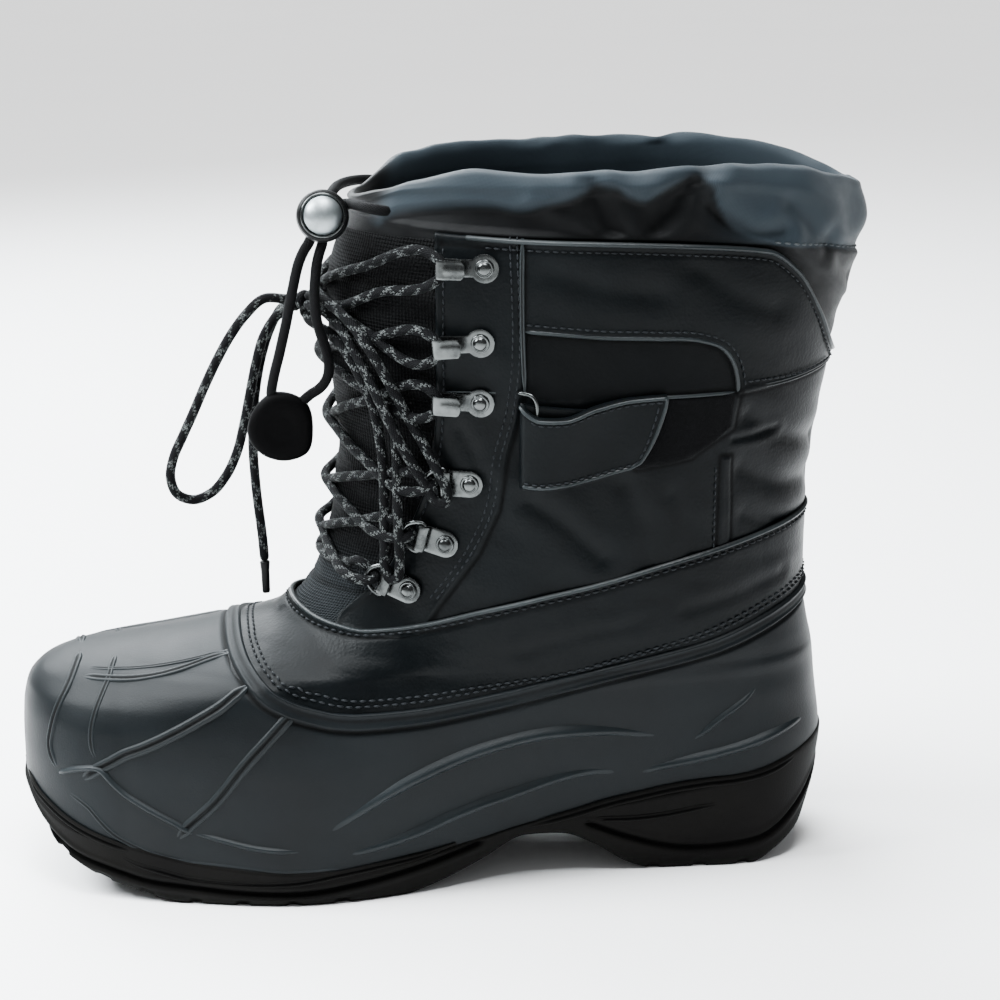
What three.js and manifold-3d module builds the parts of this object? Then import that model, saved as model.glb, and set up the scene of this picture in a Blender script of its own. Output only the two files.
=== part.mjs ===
// An insulated snow boot for the left foot: moulded shell and outsole below, laced shaft with an
// instep strap above, and a drawn nylon collar. Millimetres. x runs from the back of the heel (0)
// to the toe, y to the outer side of the foot, z up from the ground. The whole boot is moved at
// the end so that the origin is the middle of its box, on the ground.

import * as THREE from 'three';
import { mergeVertices } from 'three/addons/utils/BufferGeometryUtils.js';
import Module from 'manifold-3d';

const wasm = await Module();
wasm.setup();

// ---- driving dimensions ----

const GAP = 0.3;              // clearance between pieces that touch in the real boot
const UPPER_WALL = 2.5;       // shaft, quarters and vamp with their lining
const SHELL_PROUD = 0.8;      // the moulded shell stands this far outside the upper
const SOLE_PROUD = 1.5;       // and the outsole a little further
const TONGUE_THICK = 5;
const INSOLE_THICK = 5;
const GAITER_WALL = 1.6;
const COLLAR_TUCK = 2.8;      // the collar and tongue lie this far inside the shaft's outside
const SIDE_STEPS = 16;        // facets along each side of a section
const HALF_SPAN = 90;         // half the width of a cutter, wider than the boot
const SKY = 400;              // well above the boot
const LONG_STRETCH = 24;      // rows of a line further apart than this get a point between
const LACE = 3.6;             // lace diameter
const DRAWCORD = 3.8;         // collar drawcord diameter
const LACE_SIDES = 5;         // facets around the joined lacing
const CORD_SIDES = 8;         // facets around a free cord

// Where the half-widths of a section are given, along x.
const STATION = { heel: 30, waist: 105, ball: 205, toe: 265 };

// One row per height: the section's ends, its half-widths at the four stations, the lengths over
// which it rounds off in front (nose) and behind (tail), and the exponent of that rounding.
const FORM = [
  { z: 0, back: 4, front: 303, heel: 34, waist: 32.5, ball: 52.5, toe: 46, nose: 54, tail: 40, round: 2.3 },
  { z: 14, back: 3.5, front: 303.5, heel: 35, waist: 34, ball: 53.5, toe: 47, nose: 54, tail: 40, round: 2.3 },
  { z: 33, back: 2, front: 303.5, heel: 36, waist: 38, ball: 53.5, toe: 47, nose: 54, tail: 40, round: 2.3 },
  { z: 48, back: 0.5, front: 303.5, heel: 36.5, waist: 41, ball: 53, toe: 46.5, nose: 54, tail: 41, round: 2.3 },
  { z: 62, back: 2, front: 303, heel: 37, waist: 43, ball: 51.5, toe: 45, nose: 57, tail: 43, round: 2.25 },
  { z: 70, back: 3, front: 301.5, heel: 37.5, waist: 44, ball: 50, toe: 43, nose: 63, tail: 44, round: 2.2 },
  { z: 76, back: 3.5, front: 297, heel: 37.5, waist: 44.5, ball: 48.5, toe: 40, nose: 74, tail: 45, round: 2.15 },
  { z: 80, back: 4, front: 289, heel: 38, waist: 45, ball: 47, toe: 37, nose: 85, tail: 45, round: 2.15 },
  { z: 83, back: 4.5, front: 273, heel: 38, waist: 45, ball: 46, toe: 34, nose: 92, tail: 46, round: 2.1 },
  { z: 87, back: 5.5, front: 248, heel: 38.5, waist: 45.5, ball: 45, toe: 33, nose: 96, tail: 47, round: 2.1 },
  { z: 92, back: 6.5, front: 225, heel: 39, waist: 46, ball: 44, toe: 33, nose: 92, tail: 48, round: 2.05 },
  { z: 98, back: 7.5, front: 209, heel: 40, waist: 47, ball: 44, toe: 33, nose: 86, tail: 50, round: 2 },
  { z: 108, back: 8, front: 198, heel: 41, waist: 48, ball: 44.5, toe: 34, nose: 80, tail: 52, round: 2 },
  { z: 122, back: 8, front: 191, heel: 42.5, waist: 49, ball: 46, toe: 36, nose: 76, tail: 55, round: 2 },
  { z: 142, back: 7.5, front: 186.5, heel: 45, waist: 50.5, ball: 47, toe: 38, nose: 75, tail: 60, round: 2 },
  { z: 166, back: 5, front: 184.5, heel: 48, waist: 52, ball: 49, toe: 40, nose: 76, tail: 66, round: 2 },
  { z: 192, back: 0, front: 187, heel: 50, waist: 53.5, ball: 51, toe: 42, nose: 78, tail: 72, round: 2 },
  { z: 218, back: -5.5, front: 188, heel: 51.5, waist: 54.5, ball: 52, toe: 43, nose: 79, tail: 76, round: 2 },
  { z: 242, back: -9.5, front: 183, heel: 52.5, waist: 55, ball: 52, toe: 43, nose: 78, tail: 78, round: 2 },
  { z: 257, back: -7, front: 176, heel: 50, waist: 52.5, ball: 50, toe: 42, nose: 76, tail: 76, round: 2 },
  { z: 274, back: -2, front: 170, heel: 45, waist: 46, ball: 44, toe: 40, nose: 72, tail: 70, round: 2 },
];

// The foot's middle line swings to the outer side at the waist and to the inner side at the toe.
const SWING = [
  { x: 0, y: 0 }, { x: 60, y: 1 }, { x: 140, y: 3.5 }, { x: 200, y: 1.5 },
  { x: 240, y: -1.5 }, { x: 270, y: -4.5 }, { x: 304, y: -8 },
];
const SWING_FADE = { from: 95, to: 170 };   // heights over which the shaft straightens out

// Side-view lines, x and z.
const SOLE_UNDER = [                        // heel bevel, heel, arch, tread and toe spring
  { x: -2, z: 30 }, { x: 6, z: 23 }, { x: 12, z: 11 }, { x: 22, z: 3.5 }, { x: 30, z: 0 },
  { x: 68, z: 0 }, { x: 78, z: 3 }, { x: 92, z: 12 }, { x: 104, z: 17 }, { x: 118, z: 17.5 },
  { x: 134, z: 10 }, { x: 150, z: 3.5 }, { x: 165, z: 0 }, { x: 245, z: 0 }, { x: 262, z: 4 },
  { x: 278, z: 9.5 }, { x: 290, z: 17 }, { x: 299, z: 30 }, { x: 306, z: 44 },
];
const SOLE_RIM = [                          // top edge of the outsole's rim
  { x: -5, z: 51 }, { x: 10, z: 46 }, { x: 30, z: 39.5 }, { x: 52, z: 34.5 }, { x: 82, z: 29.5 },
  { x: 116, z: 24 }, { x: 140, z: 18.5 }, { x: 170, z: 14.5 }, { x: 202, z: 14 }, { x: 237, z: 17 },
  { x: 262, z: 22 }, { x: 284, z: 26 }, { x: 296, z: 32 }, { x: 308, z: 46 },
];
const FOOTBED = [
  { x: -5, z: 29 }, { x: 60, z: 27.5 }, { x: 105, z: 23.5 }, { x: 150, z: 13.5 }, { x: 200, z: 10.5 },
  { x: 240, z: 11.5 }, { x: 262, z: 15 }, { x: 278, z: 20.5 }, { x: 290, z: 28 }, { x: 300, z: 37 },
  { x: 308, z: 45 },
];
const INSOLE_FRONT = 288;                   // where the insole ends, short of the toe's curve
const SHELL_SEAM = [                        // top edge of the shell, rising over the instep
  { x: -15, z: 112 }, { x: 12, z: 105 }, { x: 54, z: 93 }, { x: 92, z: 86 }, { x: 136, z: 77.5 },
  { x: 161, z: 74 }, { x: 182, z: 73 }, { x: 198, z: 76 }, { x: 208, z: 80 }, { x: 215, z: 85 },
  { x: 219.5, z: 90 }, { x: 221.3, z: 96 },
];
const SHAFT_TOP = [                         // top edge of the shaft, dipping behind
  { x: -20, z: 186 }, { x: 0, z: 195 }, { x: 12, z: 215 }, { x: 22, z: 230 }, { x: 34, z: 238 },
  { x: 60, z: 241 }, { x: 122, z: 244 }, { x: 200, z: 248 },
];
const THROAT = [                            // front edge of the facings, down to the vamp
  { x: 150.5, z: 260 }, { x: 150.7, z: 184 }, { x: 152.8, z: 161 }, { x: 160, z: 138.5 },
  { x: 169, z: 121 }, { x: 179.5, z: 109.5 }, { x: 189, z: 104 }, { x: 199, z: 102.5 }, { x: 212, z: 103 },
];
const TONGUE_EDGE = [                       // hidden side edge of the tongue, inside the facings
  { x: 131, z: 235 }, { x: 130, z: 165 }, { x: 136, z: 138 }, { x: 148, z: 119 },
  { x: 164, z: 104 }, { x: 184, z: 93 }, { x: 205, z: 86 },
];
const TONGUE_FRONT = 214;                   // how far the tongue reaches under the vamp
const COLLAR_BOTTOM = [                     // lower edge of the nylon collar, inside the shaft
  { x: -20, z: 178 }, { x: 0, z: 187 }, { x: 14, z: 207 }, { x: 26, z: 224 }, { x: 42, z: 231 },
  { x: 120, z: 235.5 }, { x: 200, z: 236.5 },
];
const COLLAR_TOP = [
  { x: -20, z: 252 }, { x: 0, z: 260 }, { x: 20, z: 265 }, { x: 50, z: 268 }, { x: 90, z: 267 },
  { x: 136, z: 266 }, { x: 156, z: 263 }, { x: 172, z: 256 }, { x: 190, z: 250 },
];

// Tread: grooves across the outsole, each turned a little, between lugs.
const GROOVE = { wide: 5, deep: 4.5, turn: 0.26 };
const FORE_GROOVES = [174, 192, 210, 228, 246, 263, 279];
const HEEL_GROOVES = [26, 43, 60];

// ---- helpers on tables ----

// Value of a column at a place on a table, on a smooth curve that never overshoots its rows.
function follow(rows, key, column, at) {
  const last = rows.length - 1;
  if (at <= rows[0][key]) return rows[0][column];
  if (at >= rows[last][key]) return rows[last][column];
  let i = 0;
  while (at > rows[i + 1][key]) i += 1;
  const rise = (j) => (rows[j + 1][column] - rows[j][column]) / (rows[j + 1][key] - rows[j][key]);
  const slope = (j) => {
    if (j === 0) return rise(0);
    if (j === last) return rise(last - 1);
    const before = rise(j - 1);
    const after = rise(j);
    return before * after <= 0 ? 0 : (2 * before * after) / (before + after);
  };
  const span = rows[i + 1][key] - rows[i][key];
  const t = (at - rows[i][key]) / span;
  const u = 1 - t;
  return rows[i][column] * (1 + 2 * t) * u * u + slope(i) * span * t * u * u
    + rows[i + 1][column] * (3 - 2 * t) * t * t - slope(i + 1) * span * u * t * t;
}

// ---- the boot's form ----

function sectionAt(z) {
  const value = (column) => follow(FORM, 'z', column, z);
  const stations = Object.keys(STATION).map((name) => ({ x: STATION[name], w: value(name) }));
  const fade = 1 - THREE.MathUtils.smoothstep(z, SWING_FADE.from, SWING_FADE.to);
  return {
    back: value('back'), front: value('front'), nose: value('nose'), tail: value('tail'),
    round: value('round'), stations, fade,
  };
}

// Half-width of a section at x, closed at both ends by a rounded curve.
function halfWidth(section, x) {
  const cap = (t) => (t <= 0 ? 1 : Math.max(0, 1 - t ** section.round) ** (1 / section.round));
  const ahead = (x - section.front + section.nose) / section.nose;
  const behind = (section.back + section.tail - x) / section.tail;
  return follow(section.stations, 'x', 'w', x) * cap(Math.min(1, ahead)) * cap(Math.min(1, behind));
}

// Point on a section. turn is 0 at the front and runs to +PI behind on the outer side, and to
// -PI on the inner side.
function sectionPoint(section, turn) {
  const x = section.back + (section.front - section.back) * (1 + Math.cos(turn)) / 2;
  const middle = follow(SWING, 'x', 'y', x) * section.fade;
  return new THREE.Vector2(x, middle + Math.sign(turn) * halfWidth(section, x));
}

// The turn at which a section reaches x on its outer side.
function turnAt(section, x) {
  const along = (x - section.back) / (section.front - section.back);
  return Math.acos(THREE.MathUtils.clamp(2 * along - 1, -1, 1));
}

// A section's ring of points, moved outwards by offset.
function ring(z, offset) {
  const section = sectionAt(z);
  const count = 2 * SIDE_STEPS;
  const plain = [];
  for (let i = 0; i < count; i += 1) {
    const turn = i <= SIDE_STEPS ? (Math.PI * i) / SIDE_STEPS : (Math.PI * (i - count)) / SIDE_STEPS;
    plain.push(sectionPoint(section, turn));
  }
  return plain.map((point, i) => {
    const along = plain[(i + 1) % count].clone().sub(plain[(i + count - 1) % count]).normalize();
    return new THREE.Vector2(point.x + along.y * offset, point.y - along.x * offset);
  });
}

const LEVELS = [-4, 8, 20, 36, 54, 66, 73, 78, 81, 84, 88, 93, 100, 112, 130, 154, 180, 206, 230, 246,
  258, 272];

// The whole form as a closed solid, grown outwards by offset, or shrunk where it is negative.
function bootForm(offset) {
  const count = 2 * SIDE_STEPS;
  const positions = [];
  LEVELS.forEach((z) => {
    ring(Math.max(0, z - offset), offset).forEach((p) => positions.push(p.x, p.y, z));
  });
  const faces = [];
  for (let j = 0; j + 1 < LEVELS.length; j += 1) {
    for (let i = 0; i < count; i += 1) {
      const next = (i + 1) % count;
      const low = j * count;
      const high = low + count;
      faces.push(low + i, low + next, high + next, low + i, high + next, high + i);
    }
  }
  const lid = (base, up) => {
    for (let i = 0; i < SIDE_STEPS; i += 1) {
      const inner = (k) => base + ((count - k) % count);
      const quad = [[base + i, base + i + 1, inner(i + 1)], [base + i, inner(i + 1), inner(i)]];
      quad.filter((face) => new Set(face).size === 3)
        .forEach((face) => faces.push(...(up ? face : face.reverse())));
    }
  };
  lid(0, false);
  lid((LEVELS.length - 1) * count, true);
  return solidFrom(positions, faces);
}

// ---- helpers on solids ----

function solidFrom(positions, faces) {
  const mesh = new wasm.Mesh({
    numProp: 3, vertProperties: new Float32Array(positions), triVerts: new Uint32Array(faces),
  });
  return new wasm.Manifold(mesh);
}

function solid(geometry) {
  const bare = geometry.clone();
  bare.deleteAttribute('normal');
  bare.deleteAttribute('uv');
  const merged = mergeVertices(bare, 1e-4);
  return solidFrom(merged.attributes.position.array, merged.index.array);
}

function geometryOf(manifold) {
  const mesh = manifold.getMesh();
  const geometry = new THREE.BufferGeometry();
  geometry.setAttribute('position', new THREE.BufferAttribute(new Float32Array(mesh.vertProperties), 3));
  geometry.setIndex(new THREE.BufferAttribute(new Uint32Array(mesh.triVerts), 1));
  geometry.computeVertexNormals();
  return geometry;
}

// A side-view outline carried across the boot.
function acrossBoot(outline, from = -HALF_SPAN, to = HALF_SPAN) {
  const shape = new THREE.Shape(outline.map(([x, z]) => new THREE.Vector2(x, z)));
  const geometry = new THREE.ExtrudeGeometry(shape, { depth: to - from, bevelEnabled: false });
  geometry.rotateX(Math.PI / 2);
  geometry.translate(0, to, 0);
  return solid(geometry);
}

// Points along a side-view line: every row, and one between rows that are far apart, moved by dx
// and dz. The line is followed by its own length, so it may stand upright.
function sideLine(rows, dx = 0, dz = 0) {
  let length = 0;
  const measured = rows.map((row, i) => {
    if (i > 0) length += Math.hypot(row.x - rows[i - 1].x, row.z - rows[i - 1].z);
    return { ...row, length };
  });
  const at = (s) => [follow(measured, 'length', 'x', s) + dx, follow(measured, 'length', 'z', s) + dz];
  return measured.flatMap((row, i) => {
    const stretch = i + 1 < measured.length ? measured[i + 1].length - row.length : 0;
    const shares = stretch > LONG_STRETCH ? [0, 1 / 2] : [0];
    return shares.map((share) => at(row.length + stretch * share));
  });
}

const below = (rows, dz = 0) => acrossBoot([[-60, -60], [360, -60], [360, sideLine(rows, 0, dz).at(-1)[1]],
  ...sideLine(rows, 0, dz).reverse(), [-60, rows[0].z + dz]]);
const above = (rows, dz = 0) => acrossBoot([[-60, SKY], [-60, rows[0].z + dz], ...sideLine(rows, 0, dz),
  [360, sideLine(rows, 0, dz).at(-1)[1]], [360, SKY]]);

const finish = {
  rubber: new THREE.MeshStandardMaterial({ color: 0x1b2023, roughness: 0.62, metalness: 0 }),
  tread: new THREE.MeshStandardMaterial({ color: 0x121516, roughness: 0.75, metalness: 0 }),
  leather: new THREE.MeshStandardMaterial({ color: 0x15181b, roughness: 0.48, metalness: 0 }),
  nylon: new THREE.MeshStandardMaterial({ color: 0x171c24, roughness: 0.6, metalness: 0 }),
  canvas: new THREE.MeshStandardMaterial({ color: 0x101214, roughness: 0.9, metalness: 0 }),
  felt: new THREE.MeshStandardMaterial({ color: 0x2a2c2e, roughness: 0.95, metalness: 0 }),
  lace: new THREE.MeshStandardMaterial({ color: 0x17181a, roughness: 0.85, metalness: 0 }),
  steel: new THREE.MeshStandardMaterial({ color: 0xb9bcbf, roughness: 0.3, metalness: 1 }),
  plastic: new THREE.MeshStandardMaterial({ color: 0x141516, roughness: 0.55, metalness: 0 }),
};

const boot = new THREE.Group();

function place(name, geometry, material, parent = boot) {
  const mesh = new THREE.Mesh(geometry, material);
  mesh.name = name;
  parent.add(mesh);
  return mesh;
}

// ---- sole, shell, upper and insole ----

const cavity = bootForm(-UPPER_WALL);
const foot = bootForm(0);

function treadGrooves() {
  const groove = (x, side) => {
    const under = follow(SOLE_UNDER, 'x', 'z', x);
    const bar = new THREE.BoxGeometry(GROOVE.wide, HALF_SPAN, 2 * GROOVE.deep);
    bar.translate(0, (side * HALF_SPAN) / 2 + side * 3, 0);
    bar.rotateZ(side * GROOVE.turn);
    bar.translate(x, 0, under);
    return solid(bar);
  };
  const bars = [...FORE_GROOVES, ...HEEL_GROOVES].flatMap((x) => [groove(x, 1), groove(x, -1)]);
  return bars.reduce((all, bar) => all.add(bar));
}

function outsole() {
  const block = bootForm(SOLE_PROUD).intersect(above(SOLE_UNDER)).intersect(below(SOLE_RIM, -GAP / 2));
  return block.subtract(cavity.intersect(above(FOOTBED))).subtract(treadGrooves());
}

// Everything above the shell's seam, moved down and forward by grow.
function aboveSeam(grow) {
  const line = sideLine(SHELL_SEAM, grow, -grow);
  const [endX, endZ] = line.at(-1);
  return acrossBoot([[-60, line[0][1]], ...line, [endX + 1, endZ + 30], [endX + 1, SKY], [-60, SKY]]);
}

function shell() {
  return bootForm(SHELL_PROUD).subtract(cavity).intersect(above(SOLE_RIM, GAP / 2)).subtract(aboveSeam(GAP));
}

// Everything in front of the facings' edge and above the vamp.
function throat() {
  const line = sideLine(THROAT);
  return acrossBoot([...line, [line.at(-1)[0], SKY], [line[0][0], SKY]]);
}

function upper() {
  return foot.subtract(cavity).intersect(aboveSeam(0)).intersect(below(SHAFT_TOP)).subtract(throat());
}

function insole() {
  const inside = bootForm(-UPPER_WALL - GAP);
  const reach = acrossBoot([[-60, 0], [INSOLE_FRONT, 0], [INSOLE_FRONT, SKY], [-60, SKY]]);
  return inside.intersect(above(FOOTBED, GAP)).intersect(below(FOOTBED, GAP + INSOLE_THICK)).intersect(reach);
}

place('outsole', geometryOf(outsole()), finish.tread);
place('shell', geometryOf(shell()), finish.rubber);
place('upper', geometryOf(upper()), finish.leather);
place('insole', geometryOf(insole()), finish.felt);

// ---- tongue and collar ----

function tongue() {
  const pad = bootForm(-COLLAR_TUCK).subtract(bootForm(-COLLAR_TUCK - TONGUE_THICK));
  const edge = sideLine(TONGUE_EDGE);
  const top = edge[0][1];
  const front = acrossBoot([...edge, [TONGUE_FRONT, edge.at(-1)[1]], [TONGUE_FRONT, top], [edge[0][0], top]]);
  return pad.intersect(front);
}

function collar() {
  const standing = foot.intersect(above(SHAFT_TOP, GAP)).intersect(above(COLLAR_BOTTOM));
  const tucked = bootForm(-COLLAR_TUCK).intersect(above(COLLAR_BOTTOM));
  const hollow = bootForm(-COLLAR_TUCK - GAITER_WALL);
  return standing.add(tucked).subtract(hollow).intersect(below(COLLAR_TOP));
}

place('tongue', geometryOf(tongue()), finish.canvas);
place('gaiter', geometryOf(collar()), finish.nylon);

// ---- places on the surface ----

// Point at x and z on the outer (side 1) or inner (side -1) face, lifted off it, with its normal.
function onSide(x, z, side, lift) {
  const at = (px, pz) => {
    const section = sectionAt(pz);
    return follow(SWING, 'x', 'y', px) * section.fade + side * halfWidth(section, px);
  };
  const step = 0.5;
  const alongX = (at(x + step, z) - at(x - step, z)) / (2 * step);
  const alongZ = (at(x, z + step) - at(x, z - step)) / (2 * step);
  const normal = new THREE.Vector3(-alongX, 1, -alongZ).multiplyScalar(side).normalize();
  return { point: new THREE.Vector3(x, at(x, z), z).addScaledVector(normal, lift), normal };
}

// Puts a small piece on the surface: its own x forwards, turned up by tilt, its own z outwards.
function seat(mesh, x, z, side, tilt) {
  const { point, normal } = onSide(x, z, side, GAP + 0.2);
  const forward = new THREE.Vector3(Math.cos(tilt), 0, Math.sin(tilt));
  forward.addScaledVector(normal, -forward.dot(normal)).normalize();
  const across = new THREE.Vector3().crossVectors(normal, forward);
  mesh.applyMatrix4(new THREE.Matrix4().makeBasis(forward, across, normal).setPosition(point));
}

// ---- instep strap ----

// From its free end, back to the fold round its ring, and inwards again to where it is sewn.
// rise is the strap's middle above the shaft's face, top and foot its two edges.
const STRAP_THICK = 1.8;
const STRAP = [
  { topX: 69, top: 187, footX: 77, foot: 162, rise: 2.2 },
  { topX: 82, top: 186.5, footX: 87, foot: 160, rise: 2.2 },
  { topX: 95, top: 186, footX: 97, foot: 158, rise: 3.4 },
  { topX: 107, top: 184, footX: 107, foot: 157, rise: 5.2 },
  { topX: 115, top: 184.5, footX: 115, foot: 156.5, rise: 5.9 },
  { topX: 119.5, top: 186.5, footX: 119.5, foot: 156.2, rise: 5.4 },
  { topX: 121, top: 187, footX: 121, foot: 156, rise: 3.5 },
  { topX: 119, top: 186.5, footX: 119, foot: 156.2, rise: 1.5 },
  { topX: 108, top: 185, footX: 108, foot: 157, rise: 1.3 },
  { topX: 96, top: 184, footX: 97, foot: 158, rise: 1.3 },
];

function strap() {
  const positions = [];
  STRAP.forEach((row, i) => {
    const before = STRAP[Math.max(0, i - 1)];
    const after = STRAP[Math.min(STRAP.length - 1, i + 1)];
    const along = new THREE.Vector2(after.topX - before.topX, after.rise - before.rise).normalize();
    [[row.topX, row.top], [row.footX, row.foot]].forEach(([x, z]) => {
      [0.5, -0.5].forEach((half) => {
        const shift = half * STRAP_THICK;
        const { point } = onSide(x - along.y * shift, z, 1, row.rise + along.x * shift);
        positions.push(point.x, point.y, point.z);
      });
    });
  });
  const loop = [0, 1, 3, 2];              // top outside, top inside, foot inside, foot outside
  const faces = [];
  for (let i = 0; i + 1 < STRAP.length; i += 1) {
    loop.forEach((corner, k) => {
      const next = loop[(k + 1) % 4];
      const [a, b, c, d] = [4 * i + corner, 4 * i + next, 4 * i + 4 + next, 4 * i + 4 + corner];
      faces.push(a, b, c, a, c, d);
    });
  }
  const end = 4 * (STRAP.length - 1);
  faces.push(0, 3, 1, 0, 2, 3, end, end + 1, end + 3, end, end + 3, end + 2);
  const piece = solidFrom(positions, faces);
  return piece.volume() > 0 ? piece : solidFrom(positions, faces.reverse());
}

const WIRE_SIDES = 5;

// A round wire or cord along a smooth curve through points.
function tube(points, diameter, sides, steps, closed = false) {
  const path = new THREE.CatmullRomCurve3(points, closed, 'centripetal');
  const round = new THREE.Shape();
  for (let i = 0; i < sides; i += 1) {
    const angle = (2 * Math.PI * i) / sides;
    const corner = [Math.cos(angle) * diameter / 2, Math.sin(angle) * diameter / 2];
    if (i === 0) round.moveTo(...corner);
    else round.lineTo(...corner);
  }
  round.closePath();
  return new THREE.ExtrudeGeometry(round, { steps, extrudePath: path, bevelEnabled: false });
}

place('strap', geometryOf(strap()), finish.leather);

// Upright bar inside the strap's fold, with its two short arms to the shaft above and below it.
function strapRing() {
  const wire = 1.4;
  const bar = [{ z: 190.5, lift: 1.4, x: 122.5 }, { z: 190, lift: 3.4, x: 118 }, { z: 172, lift: 3.6, x: 117 },
    { z: 152.5, lift: 3.4, x: 118 }, { z: 152, lift: 1.4, x: 122.5 }];
  return tube(bar.map(({ x, z, lift }) => onSide(x, z, 1, lift).point), wire, WIRE_SIDES, 16);
}

place('strap_ring', strapRing(), finish.steel);

// ---- lace hardware ----

const RIVET = { plate: 1, radius: 2.9, high: 1.5 };
const HOOK = { back: 5, neck: 3.3, reach: 13.3, curl: 3.1, metal: 1, tab: 6 };
const EYELET = { back: 4.7, half: 4.3, reach: 8.5, barrel: 1.4, bulge: 7.5, ring: 5.6, wire: 1.8 };

// Plate with a round back end about the rivet and a straight-sided front, lying on z = 0.
function plate(back, half, reach) {
  const shape = new THREE.Shape();
  const meet = Math.asin(half / back);
  shape.absarc(0, 0, back, meet, 2 * Math.PI - meet, false);
  shape.lineTo(reach, -half);
  shape.lineTo(reach, half);
  shape.closePath();
  const depth = RIVET.plate;
  return solid(new THREE.ExtrudeGeometry(shape, { depth, bevelEnabled: false, curveSegments: 5 }));
}

function rivet() {
  const { plate: base, radius, high } = RIVET;
  const profile = [[0, base / 2], [radius, base / 2], [radius, base + high / 2], [radius * 0.6, base + high],
    [0, base + high]].map(([r, h]) => new THREE.Vector2(r, h));
  return solid(new THREE.LatheGeometry(profile, 8).rotateX(Math.PI / 2));
}

// Speed hook: the plate's front end curls outwards and back over itself.
function hook() {
  const { back, neck, reach, curl, metal, tab } = HOOK;
  const side = new THREE.Shape();
  side.moveTo(reach - 1, 0);
  side.absarc(reach, curl, curl, -Math.PI / 2, Math.PI / 2, false);
  side.lineTo(tab, 2 * curl);
  side.lineTo(tab, 2 * curl - metal);
  side.absarc(reach, curl, curl - metal, Math.PI / 2, -Math.PI / 2, true);
  side.lineTo(reach - 1, metal);
  side.closePath();
  const depth = 2 * neck;
  const curled = new THREE.ExtrudeGeometry(side, { depth, bevelEnabled: false, curveSegments: 4 });
  curled.rotateX(Math.PI / 2);
  curled.translate(0, neck, 0);
  return plate(back, neck, reach).add(rivet()).add(solid(curled));
}

// D-ring eyelet: plate rolled round the straight bar of a wire D.
function ringEyelet() {
  const { back, half, reach, barrel, bulge, ring: tall, wire } = EYELET;
  const bar = (radius, length, sides) => {
    const geometry = new THREE.CylinderGeometry(radius, radius, length, sides);
    return solid(geometry.translate(reach, 0, barrel));
  };
  const bow = [];
  for (let i = 0; i <= 8; i += 1) {
    const angle = Math.PI / 2 - (Math.PI * i) / 8;
    bow.push(new THREE.Vector3(reach + Math.cos(angle) * bulge, Math.sin(angle) * tall, barrel));
  }
  return plate(back, half, reach).add(rivet()).add(bar(barrel, 2 * half, WIRE_SIDES))
    .add(bar(wire / 2, 2 * tall + wire, WIRE_SIDES)).add(solid(tube(bow, wire, WIRE_SIDES, 7)));
}

// From the bottom up: where each rivet sits and how far the piece points upwards.
const EYELETS = [
  { name: 'ring_eyelet', x: 160, z: 116, tilt: 0.33 },
  { name: 'ring_eyelet', x: 147, z: 134, tilt: 0.26 },
  { name: 'ring_eyelet', x: 138.5, z: 156.5, tilt: 0.02 },
  { name: 'hook', x: 135, z: 186.5, tilt: 0 },
  { name: 'hook', x: 135, z: 208, tilt: -0.1 },
  { name: 'hook', x: 133.5, z: 234, tilt: 0 },
];
const SIDES = { outer: 1, inner: -1 };
const hardware = { hook: geometryOf(hook()), ring_eyelet: geometryOf(ringEyelet()) };

EYELETS.forEach(({ name, x, z, tilt }, row) => {
  Object.entries(SIDES).forEach(([where, side]) => {
    const piece = place(`${name}_${where}_${row + 1}`, hardware[name], finish.steel);
    seat(piece, x, z, side, tilt);
  });
});

// ---- lacing ----

const LACE_REACH = 19.2;      // the lace turns this far in front of a rivet
const LACE_LIFT = 0.7;        // its middle above the form's surface
const KNOT = { x: 194.5, y: 6, z: 214, long: 7.5, wide: 7, high: 6 };

// Point across the front of the shaft, at a turn round the section at z.
function acrossFront(turn, z, lift) {
  const section = sectionAt(z);
  const step = 0.02;
  const point = sectionPoint(section, turn);
  const along = sectionPoint(section, turn + step).sub(sectionPoint(section, turn - step)).normalize();
  return new THREE.Vector3(point.x + along.y * lift, point.y - along.x * lift, z);
}

function laceTurn(row, side) {
  const { x, z, tilt } = EYELETS[row];
  const height = z + LACE_REACH * Math.sin(tilt);
  return { z: height, turn: side * turnAt(sectionAt(height), x + LACE_REACH * Math.cos(tilt)) };
}

// One half of the lacing: from the middle of the lowest bar, through an eyelet on each side in
// turn, up to the knot.
function laceHalf(side) {
  const stops = [{ z: laceTurn(0, side).z, turn: 0 }];
  EYELETS.forEach((_, row) => stops.push(laceTurn(row, row % 2 === 0 ? side : -side)));
  stops.push({ z: KNOT.z + 4, turn: -side * 0.5 });
  const points = [];
  stops.forEach((stop, i) => {
    const next = stops[i + 1];
    const shares = next ? [0, 0.2, 0.4, 0.6, 0.8] : [0];
    shares.forEach((share) => {
      const turn = stop.turn + (next ? (next.turn - stop.turn) * share : 0);
      const z = stop.z + (next ? (next.z - stop.z) * share : 0);
      points.push(acrossFront(turn, z, LACE_LIFT));
    });
  });
  return solid(tube(points, LACE, LACE_SIDES, 38));
}

place('lace_crossings', geometryOf(laceHalf(1).add(laceHalf(-1))), finish.lace);

// ---- knot, bows and ends ----

const cords = new THREE.Group();
boot.add(cords);

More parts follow.
